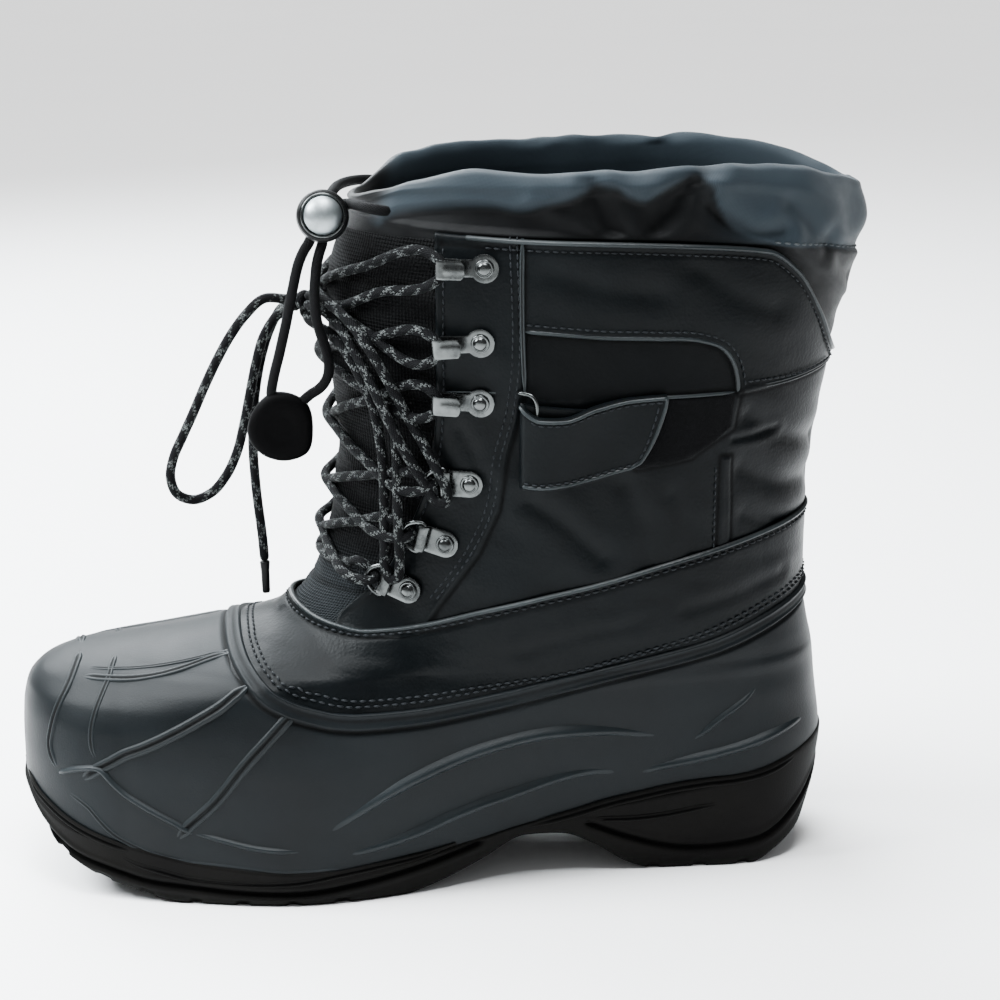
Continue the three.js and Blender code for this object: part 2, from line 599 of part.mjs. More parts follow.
// Routes of the free cords. The first point is where the cord leaves the knot, the collar or the
// lock, and the last is where it goes back in or meets what hangs on it.
const ROUTES = {
  lace_loop_front: [
    [203, 8, 216.5], [209, 9.5, 217], [216.5, 11, 211], [221.5, 12, 204.5], [226.5, 12.5, 196],
    [231.5, 13, 186], [236, 13, 176], [240, 12.5, 167.5], [243.6, 12, 159.5], [245, 11, 151.5],
    [242.8, 9.5, 145], [237, 8, 142.3], [230.5, 7, 144.5], [225, 6, 150.5], [220.8, 5.5, 159],
    [217.8, 5, 170], [215.4, 4.8, 181], [212.8, 4.5, 192.5], [209.6, 4.2, 202.5], [203.4, 4.4, 210.8],
  ],
  lace_end_front: [
    [202.4, 0.6, 212.2], [205.4, 0, 208.2], [208, -0.6, 202.6], [210.2, -1, 196], [212, -1.2, 188.6],
    [213.4, -1.2, 180.6], [214.4, -1, 172.4], [214.8, -0.8, 164.2], [214.8, -0.6, 156], [214.4, -0.4, 147.8],
    [213.8, -0.2, 139.8], [213, 0, 132], [212.4, 0, 126], [212, 0, 120.5], [211.7, 0, 115.5],
  ],
  lace_loop_side: [
    [192.6, 14.3, 215.2], [189.4, 18.2, 214.4], [185.2, 22.6, 211.4], [181.3, 29.1, 207], [177, 34.6, 199.8],
    [172.4, 40.6, 190.7], [167.2, 44.4, 179.2], [162.4, 46.4, 169.7], [157.4, 47.8, 161.1], [153.6, 48.6, 154.6],
    [151.2, 50, 150.8], [148.2, 50.9, 150.3], [147.2, 50.8, 154], [150.2, 49.4, 161.2], [154.3, 47, 169.4],
    [159.3, 44.4, 178.3], [164.4, 43.3, 188], [169.8, 41.3, 197.8], [174.6, 37.8, 205.6], [179.2, 32.5, 211.6],
    [184.6, 26, 216.2], [189.4, 19.6, 218.8], [191.8, 15.2, 219.4],
  ],
  lace_tail_side: [
    [193.4, 13.6, 209.6], [190.3, 17.2, 208], [186.8, 20.6, 206.4], [180.4, 29.6, 199.7], [176, 34.5, 191.9],
    [172.6, 36.8, 183.9], [170.4, 37.5, 173.8], [168.9, 37.6, 159.3], [168.8, 39.2, 144.9], [169, 41.8, 132.6],
    [168.8, 42.4, 124.2], [167.2, 43.6, 120.6], [164.6, 44.6, 121.4], [163.9, 45.2, 126], [164, 46, 133.2],
    [164.3, 44, 145.5], [164.2, 41.4, 159.9], [165, 40.4, 174.4], [167.4, 39.4, 184.4],
  ],
  drawcord_run_near: [
    [165.2, 35.2, 251.6], [168.4, 36.8, 252.2], [172, 36, 252.8], [175.6, 33, 253.2], [177.4, 30, 253],
    [178.4, 27.9, 252.8],
  ],
  drawcord_run_far: [
    [164.6, -37.6, 252], [168.4, -35.8, 252.8], [172.4, -31.6, 253.4], [176, -26, 253.8], [179, -19.6, 254],
    [181.4, -12.6, 254], [183, -5.4, 253.8], [184.2, 1.6, 253.4], [185.4, 7, 252.6], [186.8, 11.6, 251],
  ],
  drawcord_drop_near: [
    [188.4, 21.6, 238.4], [189.6, 21.8, 235], [190.6, 22, 231], [191.2, 22.6, 226.6], [191.6, 23.4, 222],
    [191.6, 24.2, 217.4], [191.2, 24.6, 212.8], [190.2, 24.4, 208.2], [188.8, 23.6, 203.6], [187.6, 22.4, 199],
    [187, 22, 194.8], [187.4, 21.6, 190.8], [189, 21.2, 187.6], [191.2, 20.8, 185.4], [193.4, 20.4, 184],
  ],
  drawcord_drop_far: [
    [192.8, 21, 239.4], [195, 21, 235.8], [196.8, 21, 231.8], [198, 21, 227.6], [199, 21, 223.2],
    [200, 21, 218.8], [200.9, 21, 214.4], [201.8, 21, 210], [202.8, 20.9, 205.8], [203.8, 20.8, 201.6],
    [204.8, 20.7, 197.6], [205.8, 20.6, 194], [206.6, 20.5, 190.8], [207.2, 20.4, 188], [207.6, 20.3, 185.6],
  ],
};
const STEP_LENGTH = 2.9;      // diameters along a cord for each facet

Object.entries(ROUTES).forEach(([name, route]) => {
  const points = route.map((place3) => new THREE.Vector3(...place3));
  const diameter = name.startsWith('drawcord') ? DRAWCORD : LACE;
  const length = new THREE.CatmullRomCurve3(points, false, 'centripetal').getLength();
  const steps = Math.ceil(length / (STEP_LENGTH * diameter));
  const material = name.startsWith('drawcord') ? finish.plastic : finish.lace;
  place(name, tube(points, diameter, CORD_SIDES, steps), material, cords);
});

const knot = place('lace_knot', new THREE.SphereGeometry(1, 10, 7), finish.lace, cords);
knot.scale.set(KNOT.long, KNOT.wide, KNOT.high);
knot.position.set(KNOT.x, KNOT.y, KNOT.z);

const TIP = { radius: 1.9, long: 12, gap: 0.4 };
const tip = place('lace_tip', new THREE.CylinderGeometry(TIP.radius, TIP.radius * 0.8, TIP.long, 8),
  finish.plastic, cords);
const [tipX, tipY, tipZ] = ROUTES.lace_end_front.at(-1);
tip.rotation.x = Math.PI / 2;
tip.position.set(tipX, tipY, tipZ - TIP.gap - TIP.long / 2);

// ---- cord lock and cord end ----

// The lock hangs before the collar with its push button facing outwards and a little up.
const LOCK = { x: 188.2, y: 22, z: 248.2, tilt: 0.2 };
const LOCK_BODY = [
  { r: 0, a: -8 }, { r: 5.4, a: -8 }, { r: 8.4, a: -5.6 }, { r: 9.2, a: -1.5 }, { r: 9.2, a: 2.5 },
  { r: 8.7, a: 5.4 }, { r: 7.7, a: 6.2 }, { r: 7.2, a: 6.2 }, { r: 7.2, a: 1 }, { r: 0, a: 1 },
];
const LOCK_BUTTON = [
  { r: 0, a: 4.3 }, { r: 6.7, a: 4.3 }, { r: 6.7, a: 7.4 }, { r: 5.4, a: 9.1 }, { r: 3, a: 10.1 },
  { r: 0, a: 10.4 },
];
const lathe = (profile, sides) => new THREE.LatheGeometry(
  profile.map(({ r, a }) => new THREE.Vector2(r, a)), sides,
);

const lock = new THREE.Group();
lock.position.set(LOCK.x, LOCK.y, LOCK.z);
lock.rotation.x = LOCK.tilt;
cords.add(lock);
place('lock_body', geometryOf(solid(lathe(LOCK_BODY, 12))), finish.plastic, lock);
place('lock_button', geometryOf(solid(lathe(LOCK_BUTTON, 12))), finish.steel, lock);

// The moulded cord end, a rounded triangle.
const PULL = { from: 16.6, thick: 7.2, bevel: 1.4 };
const PULL_EDGE = [
  [207.5, 184.6], [200, 184], [195, 180.5], [193, 171], [195, 162.5], [203, 159.5], [211.5, 162],
  [216.5, 169], [214.2, 178.5],
];
function cordPull() {
  const corners = PULL_EDGE.map(([x, z]) => new THREE.Vector3(x, z, 0));
  const edge = new THREE.CatmullRomCurve3(corners, true, 'centripetal');
  const shape = new THREE.Shape(edge.getPoints(2 * PULL_EDGE.length).slice(0, -1)
    .map((point) => new THREE.Vector2(point.x, point.y)));
  const geometry = new THREE.ExtrudeGeometry(shape, {
    depth: PULL.thick - 2 * PULL.bevel, bevelEnabled: true, bevelSize: PULL.bevel, bevelOffset: -PULL.bevel,
    bevelThickness: PULL.bevel, bevelSegments: 1,
  });
  return geometry.rotateX(Math.PI / 2).translate(0, PULL.from + PULL.thick - PULL.bevel, 0);
}
place('cord_pull', geometryOf(solid(cordPull())), finish.plastic, cords);

// ---- origin ----

// The middle of the boot's box without its free cords, on the ground.
boot.remove(cords);
const box = new THREE.Box3().setFromObject(boot, true);
boot.add(cords);
const middle = box.getCenter(new THREE.Vector3());
boot.position.set(-middle.x, -middle.y, -box.min.z);
boot.updateMatrixWorld(true);

export default boot;
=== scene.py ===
"""Insulated snow boot for the left foot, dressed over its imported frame.

Shapes are worked out in millimetres in the maker's frame: x runs from the back of the heel to the
toe, y to the outer side of the foot, z up from the ground. Each piece is carried into the frame's
metres when its mesh is made.
"""

import logging
import math
from dataclasses import dataclass
from enum import Enum
from typing import Any, Optional, Sequence

import bpy
import numpy as np
from mathutils import Matrix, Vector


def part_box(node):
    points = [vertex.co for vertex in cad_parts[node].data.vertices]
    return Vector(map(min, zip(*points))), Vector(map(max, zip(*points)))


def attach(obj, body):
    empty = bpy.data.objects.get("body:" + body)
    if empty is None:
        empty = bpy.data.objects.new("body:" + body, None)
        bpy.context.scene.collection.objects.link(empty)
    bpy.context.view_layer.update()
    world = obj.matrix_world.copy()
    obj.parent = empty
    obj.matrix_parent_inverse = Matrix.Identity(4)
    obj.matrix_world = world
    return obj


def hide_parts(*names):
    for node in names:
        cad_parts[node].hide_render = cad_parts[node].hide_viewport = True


Array = np.ndarray
log = logging.getLogger("snow_boot")
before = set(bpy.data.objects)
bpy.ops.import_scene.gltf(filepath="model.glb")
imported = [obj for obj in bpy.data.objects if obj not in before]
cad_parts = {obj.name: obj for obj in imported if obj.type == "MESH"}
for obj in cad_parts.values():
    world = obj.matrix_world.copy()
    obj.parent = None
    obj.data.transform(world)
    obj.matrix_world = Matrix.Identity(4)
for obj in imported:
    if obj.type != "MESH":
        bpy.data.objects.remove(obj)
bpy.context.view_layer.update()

MM = 0.001
KNOT_AT = np.array([194.5, 6.0, 214.0])
ORIGIN = KNOT_AT - np.mean(np.array(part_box("lace_knot")), axis=0) / MM
BODY = "boot"


# ---------------------------------------------------------------- lines and tables


def cubic(share: Array, span: Array, first: Array, last: Array, leave: Array, arrive: Array) -> Array:
    """Cubic from a first value to a last one that leaves and arrives at given slopes."""
    rest = 1 - share
    return ((first * (1 + 2 * share) + leave * span * share) * rest**2
            + (last * (3 - 2 * share) - arrive * span * rest) * share**2)


def lengths(points: Array) -> Array:
    """Length up to each point of a line, or of every column of a grid."""
    steps = np.linalg.norm(np.diff(points, axis=0), axis=-1)
    return np.concatenate([np.zeros_like(steps[:1]), np.cumsum(steps, axis=0)])


def read(at: Array, keys: Array, rows: Array) -> Array:
    """Rows of numbers at places between their keys, in straight stretches."""
    return np.stack([np.interp(at, keys, column) for column in rows.T], axis=-1)


def unit(vectors: Array) -> Array:
    """Vectors of length one in the same directions."""
    return vectors / np.maximum(1e-9, np.linalg.norm(vectors, axis=-1, keepdims=True))


def follow(keys: Array, values: Array, at: Array) -> Array:
    """Read a table on a smooth curve that never overshoots its rows.

    Each stretch is a cubic whose end slopes are the harmonic means of the slopes beside them.

    Args:
        keys: The table's places, rising.
        values: The values there, with any leading shape that `at` shares.
        at: Where to read.

    Returns:
        The values at those places.
    """
    keys, values = np.asarray(keys, float), np.asarray(values, float)
    at = np.clip(np.asarray(at, float), keys[0], keys[-1])
    rise = np.diff(values) / np.diff(keys)
    before, after = rise[..., :-1], rise[..., 1:]
    total = np.where(before + after == 0, 1.0, before + after)
    joint = np.where(before * after > 0, 2 * before * after / total, 0.0)
    slope = np.concatenate([rise[..., :1], joint, rise[..., -1:]], axis=-1)
    i = np.clip(np.searchsorted(keys, at, side="right") - 1, 0, len(keys) - 2)

    def pick(table: Array, k: Array) -> Array:
        """Take entry k of the table at each place."""
        if table.ndim == 1:
            return table[k]
        return np.take_along_axis(table, k[..., None], -1)[..., 0]

    span = keys[i + 1] - keys[i]
    return cubic((at - keys[i]) / span, span, pick(values, i), pick(values, i + 1),
                 pick(slope, i), pick(slope, i + 1))


@dataclass(frozen=True)
class Line:
    """A side-view line, read as height over x or as x over height.

    Fields are its points and the heights between which it crosses the boot.
    """

    points: tuple
    between: tuple = (0, 60)

    def z(self, x: Array) -> Array:
        """Height of the line at x."""
        table = np.array(self.points, float)
        return follow(table[:, 0], table[:, 1], x)

    def x(self, z: Array) -> Array:
        """Place along the boot of the line at a height."""
        table = np.array(sorted(self.points, key=lambda p: p[1]), float)
        return follow(table[:, 1], table[:, 0], z)


def curve(points: Sequence, step: float = 1.0, closed: bool = False) -> Array:
    """Lay a smooth curve through points, with even steps along it.

    Each stretch is a cubic over the chord length, with the slope at a point taken from its
    neighbours.

    Args:
        points: The points, with any number of coordinates.
        step: Distance between the points returned.
        closed: Whether the curve comes back to its first point.

    Returns:
        Points along the curve; a closed one doesn't repeat its first point.
    """
    p = np.asarray(points, float)
    if closed:
        p = np.concatenate([p[-2:], p, p[:3]])
    chord = lengths(p)
    slope = np.gradient(p, chord, axis=0)
    first, last = (2, len(p) - 3) if closed else (0, len(p) - 1)
    at = np.linspace(chord[first], chord[last], 1 + 12 * (last - first))
    i = np.clip(np.searchsorted(chord, at, side="right") - 1, first, last - 1)
    span = (chord[i + 1] - chord[i])[:, None]
    fine = cubic((at - chord[i])[:, None] / span, span, p[i], p[i + 1], slope[i], slope[i + 1])
    return evenly(fine, step)[: -1 if closed else None]


def evenly(points: Array, step: float) -> Array:
    """Walk a line of points and return places at even steps along it, ends included."""
    length = lengths(points)
    return read(np.linspace(0, length[-1], max(2, round(length[-1] / step) + 1)), length, points)


def away(points: Array, line: Array) -> Array:
    """Shortest distance from each point to a line of points.

    Args:
        points: Array whose last axis holds coordinates.
        line: The line's points, with as many coordinates.

    Returns:
        One distance for each point.
    """
    flat = points.reshape(-1, points.shape[-1])
    best = np.full(len(flat), np.inf)
    for a, b in zip(line[:-1], line[1:]):
        along = b - a
        t = np.clip((flat - a) @ along / max(1e-9, along @ along), 0, 1)
        off = flat - (a + t[:, None] * along)
        best = np.minimum(best, np.einsum("ij,ij->i", off, off))
    return np.sqrt(best).reshape(points.shape[:-1])


def inside(points: Array, outline: Array) -> Array:
    """Whether side-view points lie inside a closed outline: a ray upwards crosses it oddly."""
    x, z = points[..., 0], points[..., 1]
    odd = np.zeros(x.shape, bool)
    for (ax, az), (bx, bz) in zip(outline, np.roll(outline, -1, axis=0)):
        if ax == bx:
            continue
        crosses = (ax > x) != (bx > x)
        odd ^= crosses & (z < az + (x - ax) * (bz - az) / (bx - ax))
    return odd


def smooth(value: Array, low: float = 0.0, high: float = 1.0) -> Array:
    """Rise from 0 at low to 1 at high with level ends."""
    t = np.clip((value - low) / (high - low), 0, 1)
    return t * t * (3 - 2 * t)


def bump(distance: Array, width: float) -> Array:
    """A rounded ridge: 1 on its line, falling away over about the width."""
    return np.exp(-((distance / width) ** 2))


def swell(points: Array, size: float, turn: float = 0.0) -> Array:
    """Gentle uneven hills, from -1 to 1, made of a few slanted waves.

    Args:
        points: Places in millimetres, last axis x, y, z.
        size: Distance between hills.
        turn: A number that shifts the pattern.

    Returns:
        The height of the hills at each place.
    """
    x, y, z = np.moveaxis(points / size * 2 * math.pi, -1, 0)
    return (
        np.sin(0.9 * x + 0.5 * z + turn)
        + np.sin(-0.6 * x + 1.1 * z + 0.8 * y + 2.1 * turn)
        + np.sin(1.4 * x + 0.4 * y - 0.7 * z + 3.7 * turn)
        + np.sin(0.5 * y + 1.7 * z - 0.4 * x + 5.3 * turn)
    ) / 4


# ---------------------------------------------------------------- the boot's form

# height, back, front, half-widths at the heel, waist, ball and toe, nose, tail, rounding
FORM = np.array([
    [0, 4, 303, 34, 32.5, 52.5, 46, 54, 40, 2.3],
    [14, 3.5, 303.5, 35, 34, 53.5, 47, 54, 40, 2.3],
    [33, 2, 303.5, 36, 38, 53.5, 47, 54, 40, 2.3],
    [48, 0.5, 303.5, 36.5, 41, 53, 46.5, 54, 41, 2.3],
    [62, 2, 303, 37, 43, 51.5, 45, 57, 43, 2.25],
    [70, 3, 301.5, 37.5, 44, 50, 43, 63, 44, 2.2],
    [76, 3.5, 297, 37.5, 44.5, 48.5, 40, 74, 45, 2.15],
    [80, 4, 289, 38, 45, 47, 37, 85, 45, 2.15],
    [83, 4.5, 273, 38, 45, 46, 34, 92, 46, 2.1],
    [87, 5.5, 248, 38.5, 45.5, 45, 33, 96, 47, 2.1],
    [92, 6.5, 225, 39, 46, 44, 33, 92, 48, 2.05],
    [98, 7.5, 209, 40, 47, 44, 33, 86, 50, 2],
    [108, 8, 198, 41, 48, 44.5, 34, 80, 52, 2],
    [122, 8, 191, 42.5, 49, 46, 36, 76, 55, 2],
    [142, 7.5, 186.5, 45, 50.5, 47, 38, 75, 60, 2],
    [166, 5, 184.5, 48, 52, 49, 40, 76, 66, 2],
    [192, 0, 187, 50, 53.5, 51, 42, 78, 72, 2],
    [218, -5.5, 188, 51.5, 54.5, 52, 43, 79, 76, 2],
    [242, -9.5, 183, 52.5, 55, 52, 43, 78, 78, 2],
    [257, -7, 176, 50, 52.5, 50, 42, 76, 76, 2],
    [274, -2, 170, 45, 46, 44, 40, 72, 70, 2],
], float)
STATIONS = np.array([30.0, 105.0, 205.0, 265.0])
SWING = np.array([[0, 0], [60, 1], [140, 3.5], [200, 1.5], [240, -1.5], [270, -4.5], [304, -8]], float)
SWING_FADE = (95.0, 170.0)

SOLE_UNDER = Line((
    (-2, 30), (6, 23), (12, 11), (22, 3.5), (30, 0), (68, 0), (78, 3), (92, 12), (104, 17), (118, 17.5),
    (134, 10), (150, 3.5), (165, 0), (245, 0), (262, 4), (278, 9.5), (290, 17), (299, 30), (306, 44),
), (0, 44))
SOLE_RIM = Line((
    (-5, 51), (10, 46), (30, 39.5), (52, 34.5), (82, 29.5), (116, 24), (140, 18.5), (170, 14.5),
    (202, 14), (237, 17), (262, 22), (284, 26), (296, 32), (308, 46),
))
FOOTBED = Line((
    (-5, 29), (60, 27.5), (105, 23.5), (150, 13.5), (200, 10.5), (240, 11.5), (262, 15), (278, 20.5),
    (290, 28), (300, 37), (308, 45),
))
SHELL_SEAM = Line((
    (-15, 112), (12, 105), (54, 93), (92, 86), (136, 77.5), (161, 74), (182, 73), (198, 76), (208, 80),
    (215, 85), (219.5, 90), (221.3, 96), (221.6, 140),
), (45, 120))
RAND_TOP = Line((
    (-15, 139), (15, 135), (54, 128), (92, 119), (114, 114.5), (136, 109.5), (143, 107.5), (155, 104),
    (168, 101), (178, 99.5), (185, 100), (192, 101), (198, 102.8), (202.5, 104.6), (210, 106),
), (80, 150))
SHAFT_TOP = Line((
    (-20, 186), (0, 195), (12, 215), (22, 230), (34, 238), (60, 241), (122, 244), (200, 248),
), (180, 262))
COLLAR_TOP = Line((
    (-20, 252), (0, 260), (20, 265), (50, 268), (90, 267), (136, 266), (156, 263), (172, 256),
    (190, 250),
), (236, 274))
FACING_EDGE = Line((
    (150.5, 262), (150.7, 184), (152.8, 161), (160, 138.5), (169, 121), (179.5, 109.5), (186, 103),
    (190, 92),
))


class BootForm:
    """The outside of the foot and shaft, as a surface of a turn round the boot and a height."""

    def column(self, number: int, z: Array) -> Array:
        """One column of the form's table at a height."""
        return follow(FORM[:, 0], FORM[:, number], z)

    def half_width(self, x: Array, z: Array) -> Array:
        """Half the width of the section at a height, rounded off at both ends."""
        x, z = np.broadcast_arrays(np.asarray(x, float), np.asarray(z, float))
        back, front, nose, tail, power = (self.column(k, z) for k in (1, 2, 7, 8, 9))
        widths = np.stack([self.column(k, z) for k in (3, 4, 5, 6)], axis=-1)
        ahead = np.clip((x - front + nose) / nose, 0, 1)
        behind = np.clip((back + tail - x) / tail, 0, 1)
        ends = (1 - ahead**power) ** (1 / power) * (1 - behind**power) ** (1 / power)
        return follow(STATIONS, widths, x) * ends

    def middle(self, x: Array, z: Array) -> Array:
        """Sideways swing of the section's middle line."""
        return follow(SWING[:, 0], SWING[:, 1], x) * (1 - smooth(z, *SWING_FADE))

    def x_at(self, turn: Array, z: Array) -> Array:
        """Place along the boot at a turn: 0 is the front and plus or minus pi the back."""
        back, front = self.column(1, z), self.column(2, z)
        return back + (front - back) * (1 + np.cos(turn)) / 2

    def turn_at(self, x: Array, z: Array) -> Array:
        """The outer side's turn at which the section reaches x."""
        back, front = self.column(1, z), self.column(2, z)
        return np.arccos(np.clip(2 * (x - back) / (front - back) - 1, -1, 1))

    def point(self, turn: Array, z: Array) -> Array:
        """Point on the surface."""
        turn, z = np.broadcast_arrays(np.asarray(turn, float), np.asarray(z, float))
        turn = (turn + math.pi) % (2 * math.pi) - math.pi
        x = self.x_at(turn, z)
        return np.stack([x, self.middle(x, z) + np.sign(turn) * self.half_width(x, z), z], axis=-1)

    def normal(self, turn: Array, z: Array) -> Array:
        """Outward direction: across the surface's two small steps, round and up."""
        around = self.point(turn + 0.01, z) - self.point(turn - 0.01, z)
        upwards = self.point(turn, z + 0.3) - self.point(turn, z - 0.3)
        return unit(np.cross(around, upwards))

    def skin(self, turn: Array, z: Array, lift: Any) -> tuple:
        """Points held off the surface, and the outward directions there."""
        out = self.normal(turn, z)
        return self.point(turn, z) + out * np.asarray(lift)[..., None], out

    def lifted(self, turn: Array, z: Array, lift: Any) -> Array:
        """Point held off the surface along its outward direction."""
        return self.skin(turn, z, lift)[0]

    def on_side(self, line: Array, side: int, lift: float = 0.0) -> Array:
        """Lay a side-view line of x and z on one face of the boot.

        Args:
            line: Points of x and z.
            side: 1 for the outer face, -1 for the inner one.
            lift: Height above the surface.

        Returns:
            The line's points in space.
        """
        x, z = line[:, 0], line[:, 1]
        return self.lifted(side * self.turn_at(x, z), z, lift)

    def meet(self, turn: Array, line: Line) -> Array:
        """Height at which each turn's meridian crosses a side-view line, by halving."""
        below, above = (np.full(turn.shape, float(height)) for height in line.between)
        for _ in range(40):
            z = (below + above) / 2
            short = z < line.z(self.x_at(turn, z))
            below, above = np.where(short, z, below), np.where(short, above, z)
        return (below + above) / 2

    def spread(self, turn: Array, low: Array, high: Array, rows: int) -> Array:
        """Heights for rows that are evenly spaced along each meridian, whatever its slope.

        Args:
            turn: One turn for each column.
            low: Height of the first row in each column.
            high: Height of the last.
            rows: How many rows.

        Returns:
            Heights, rows by columns.
        """
        share = np.linspace(0, 1, 160)[:, None]
        z = low + (high - low) * share
        length = lengths(self.point(turn[None, :], z))
        length /= length[-1]
        column = np.arange(len(turn))
        nearly = 0.999999
        want = np.linspace(0, 1, rows)[:, None] * nearly + column
        return np.interp(want.T.ravel(), (length * nearly + column).T.ravel(),
                         z.T.ravel()).reshape(len(turn), rows).T


FORM_OF_BOOT = BootForm()


def round_turns(count: int) -> Array:
    """Turns all the way round from the back, through the inner side and the front."""
    return np.linspace(-math.pi, math.pi, count, endpoint=False)


# ---------------------------------------------------------------- shader expressions


class Socket:
    """An output socket that takes part in sums, as numbers do."""

    def __init__(self, shop: "Shop", out: bpy.types.NodeSocket) -> None:
        self.shop, self.out = shop, out

    def _sum(self, operation: str, *values: Any) -> "Socket":
        """Add one Math node over these values."""
        return self.shop.node("ShaderNodeMath", {"operation": operation}, dict(enumerate(values)))

    def __add__(self, other: Any) -> "Socket":
        return self._sum("ADD", self, other)

    __radd__ = __add__

    def __sub__(self, other: Any) -> "Socket":
        return self._sum("SUBTRACT", self, other)

    def __rsub__(self, other: Any) -> "Socket":
        return self._sum("SUBTRACT", other, self)

    def __mul__(self, other: Any) -> "Socket":
        return self._sum("MULTIPLY", self, other)

    __rmul__ = __mul__

    def __gt__(self, other: Any) -> "Socket":
        return self._sum("GREATER_THAN", self, other)

    def __lt__(self, other: Any) -> "Socket":
        return self._sum("LESS_THAN", self, other)

    def above(self, low: float, high: float) -> "Socket":
        """Rise smoothly from 0 at low to 1 at high."""
        return self.shop.node("ShaderNodeMapRange", {"interpolation_type": "SMOOTHSTEP"},
                              {"Value": self, "From Min": low, "From Max": high})

    def wave(self) -> "Socket":
        """Sine of the value."""
        return self._sum("SINE", self)

    def size(self) -> "Socket":
        """The value without its sign."""
        return self._sum("ABSOLUTE", self)

    def whole(self) -> "Socket":
        """The whole number below the value."""
        return self._sum("FLOOR", self)

    def within(self, span: float) -> "Socket":
        """What is left of the value after whole spans."""
        return self._sum("FLOORED_MODULO", self, span)


class Shop:
    """Makes the nodes of one material."""

    def __init__(self, name: str) -> None:
        self.material = bpy.data.materials.new(name)
        self.material.use_nodes = True
        self.tree = self.material.node_tree
        self.tree.nodes.clear()

    def node(self, kind: str, settings: dict, inputs: dict, output: Any = 0) -> Socket:
        """Add a node.

        Args:
            kind: Node type.
            settings: Attributes set before the sockets.
            inputs: Values or links of its sockets, by name or number.
            output: Which output to return.

        Returns:
            That output.
        """
        made = self.tree.nodes.new(kind)
        for key, value in settings.items():
            setattr(made, key, value)
        for key, value in inputs.items():
            if isinstance(value, Socket):
                self.tree.links.new(value.out, made.inputs[key])
            else:
                made.inputs[key].default_value = value
        return Socket(self, made.outputs[output])

    def place(self) -> Socket:
        """Object coordinates."""
        return self.node("ShaderNodeTexCoord", {}, {}, "Object")

    def mark(self, name: str) -> Socket:
        """A number stored on the piece's points."""
        return self.node("ShaderNodeAttribute", {"attribute_name": name}, {}, "Fac")

    def noise(self, scale: float, detail: float = 3.0, rough: float = 0.55) -> Socket:
        """Cloudy noise between 0 and 1."""
        return self.node("ShaderNodeTexNoise", {}, {
            "Vector": self.place(), "Scale": scale, "Detail": detail, "Roughness": rough})

    def cells(self, scale: float) -> Socket:
        """Distance pattern of scattered cells."""
        return self.node("ShaderNodeTexVoronoi", {}, {"Vector": self.place(), "Scale": scale}, "Distance")

    def threads(self) -> tuple:
        """Places across and along the cloth, from the piece's own map."""
        cloth = self.node("ShaderNodeUVMap", {"uv_map": "cloth"}, {})
        split = self.tree.nodes.new("ShaderNodeSeparateXYZ")
        self.tree.links.new(cloth.out, split.inputs[0])
        return Socket(self, split.outputs[0]), Socket(self, split.outputs[1])

    def blend(self, share: Any, first: Any, second: Any) -> Socket:
        """Mix two colours."""
        first, second = (tone if isinstance(tone, Socket) else (*tone, 1) for tone in (first, second))
        return self.node("ShaderNodeMix", {"data_type": "RGBA"}, {0: share, 6: first, 7: second}, 2)

    def bump(self, height: Socket, depth: float) -> Socket:
        """Normal bent by a height in units of depth, in metres."""
        return self.node("ShaderNodeBump", {}, {"Height": height, "Distance": depth, "Strength": 1.0})

    def finish(self, colour: Any, roughness: Any, normal: Optional[Socket] = None,
               **constants: Any) -> bpy.types.Material:
        """Close the material with one Principled surface.

        Args:
            colour: Base colour, plain or varying.
            roughness: Roughness, plain or varying.
            normal: Bumped normal.
            constants: Other sockets, by name with underscores for spaces.

        Returns:
            The material.
        """
        inputs: dict = {"Base Color": colour if isinstance(colour, Socket) else (*colour, 1),
                        "Roughness": roughness}
        if normal is not None:
            inputs["Normal"] = normal
        inputs.update({key.replace("_", " "): value for key, value in constants.items()})
        surface = self.node("ShaderNodeBsdfPrincipled", {}, inputs)
        out = self.tree.nodes.new("ShaderNodeOutputMaterial")
        self.tree.links.new(surface.out, out.inputs[0])
        return self.material


# ---------------------------------------------------------------- finishes


@dataclass(frozen=True)
class MouldedRubber:
    """Satin rubber with a cloudy tone and fine pits.

    Fields are its name, the colours it clouds between, how dull it is, the depth of its pits in
    metres, and the strength of its gloss.
    """

    name: str
    deep: tuple
    rubbed: tuple
    dull: float = 0.42
    pitted: float = 0.00008
    gloss: float = 0.3

    def make(self) -> bpy.types.Material:
        """Cloudy tone, fine pits as a bump, and painted shade in the hollows from the piece's own mark."""
        shop = Shop(self.name)
        cloud = shop.noise(26, 4)
        fine = shop.noise(1500, 2)
        painted_shade = shop.mark("painted_shade")
        tone = shop.blend(cloud.above(0.25, 0.8), self.deep, self.rubbed)
        # painted shade: marked hollows take a darker copy of the rubber's colour
        dark = tuple(0.15 * part for part in self.deep)
        colour = shop.blend(painted_shade.above(0.0, 0.8), tone, dark)
        roughness = self.dull + (cloud - 0.5) * 0.22 + painted_shade * 0.45 + (fine - 0.5) * 0.08
        normal = shop.bump(fine + cloud * 2, self.pitted)
        return shop.finish(colour, roughness, normal, Specular_IOR_Level=self.gloss)


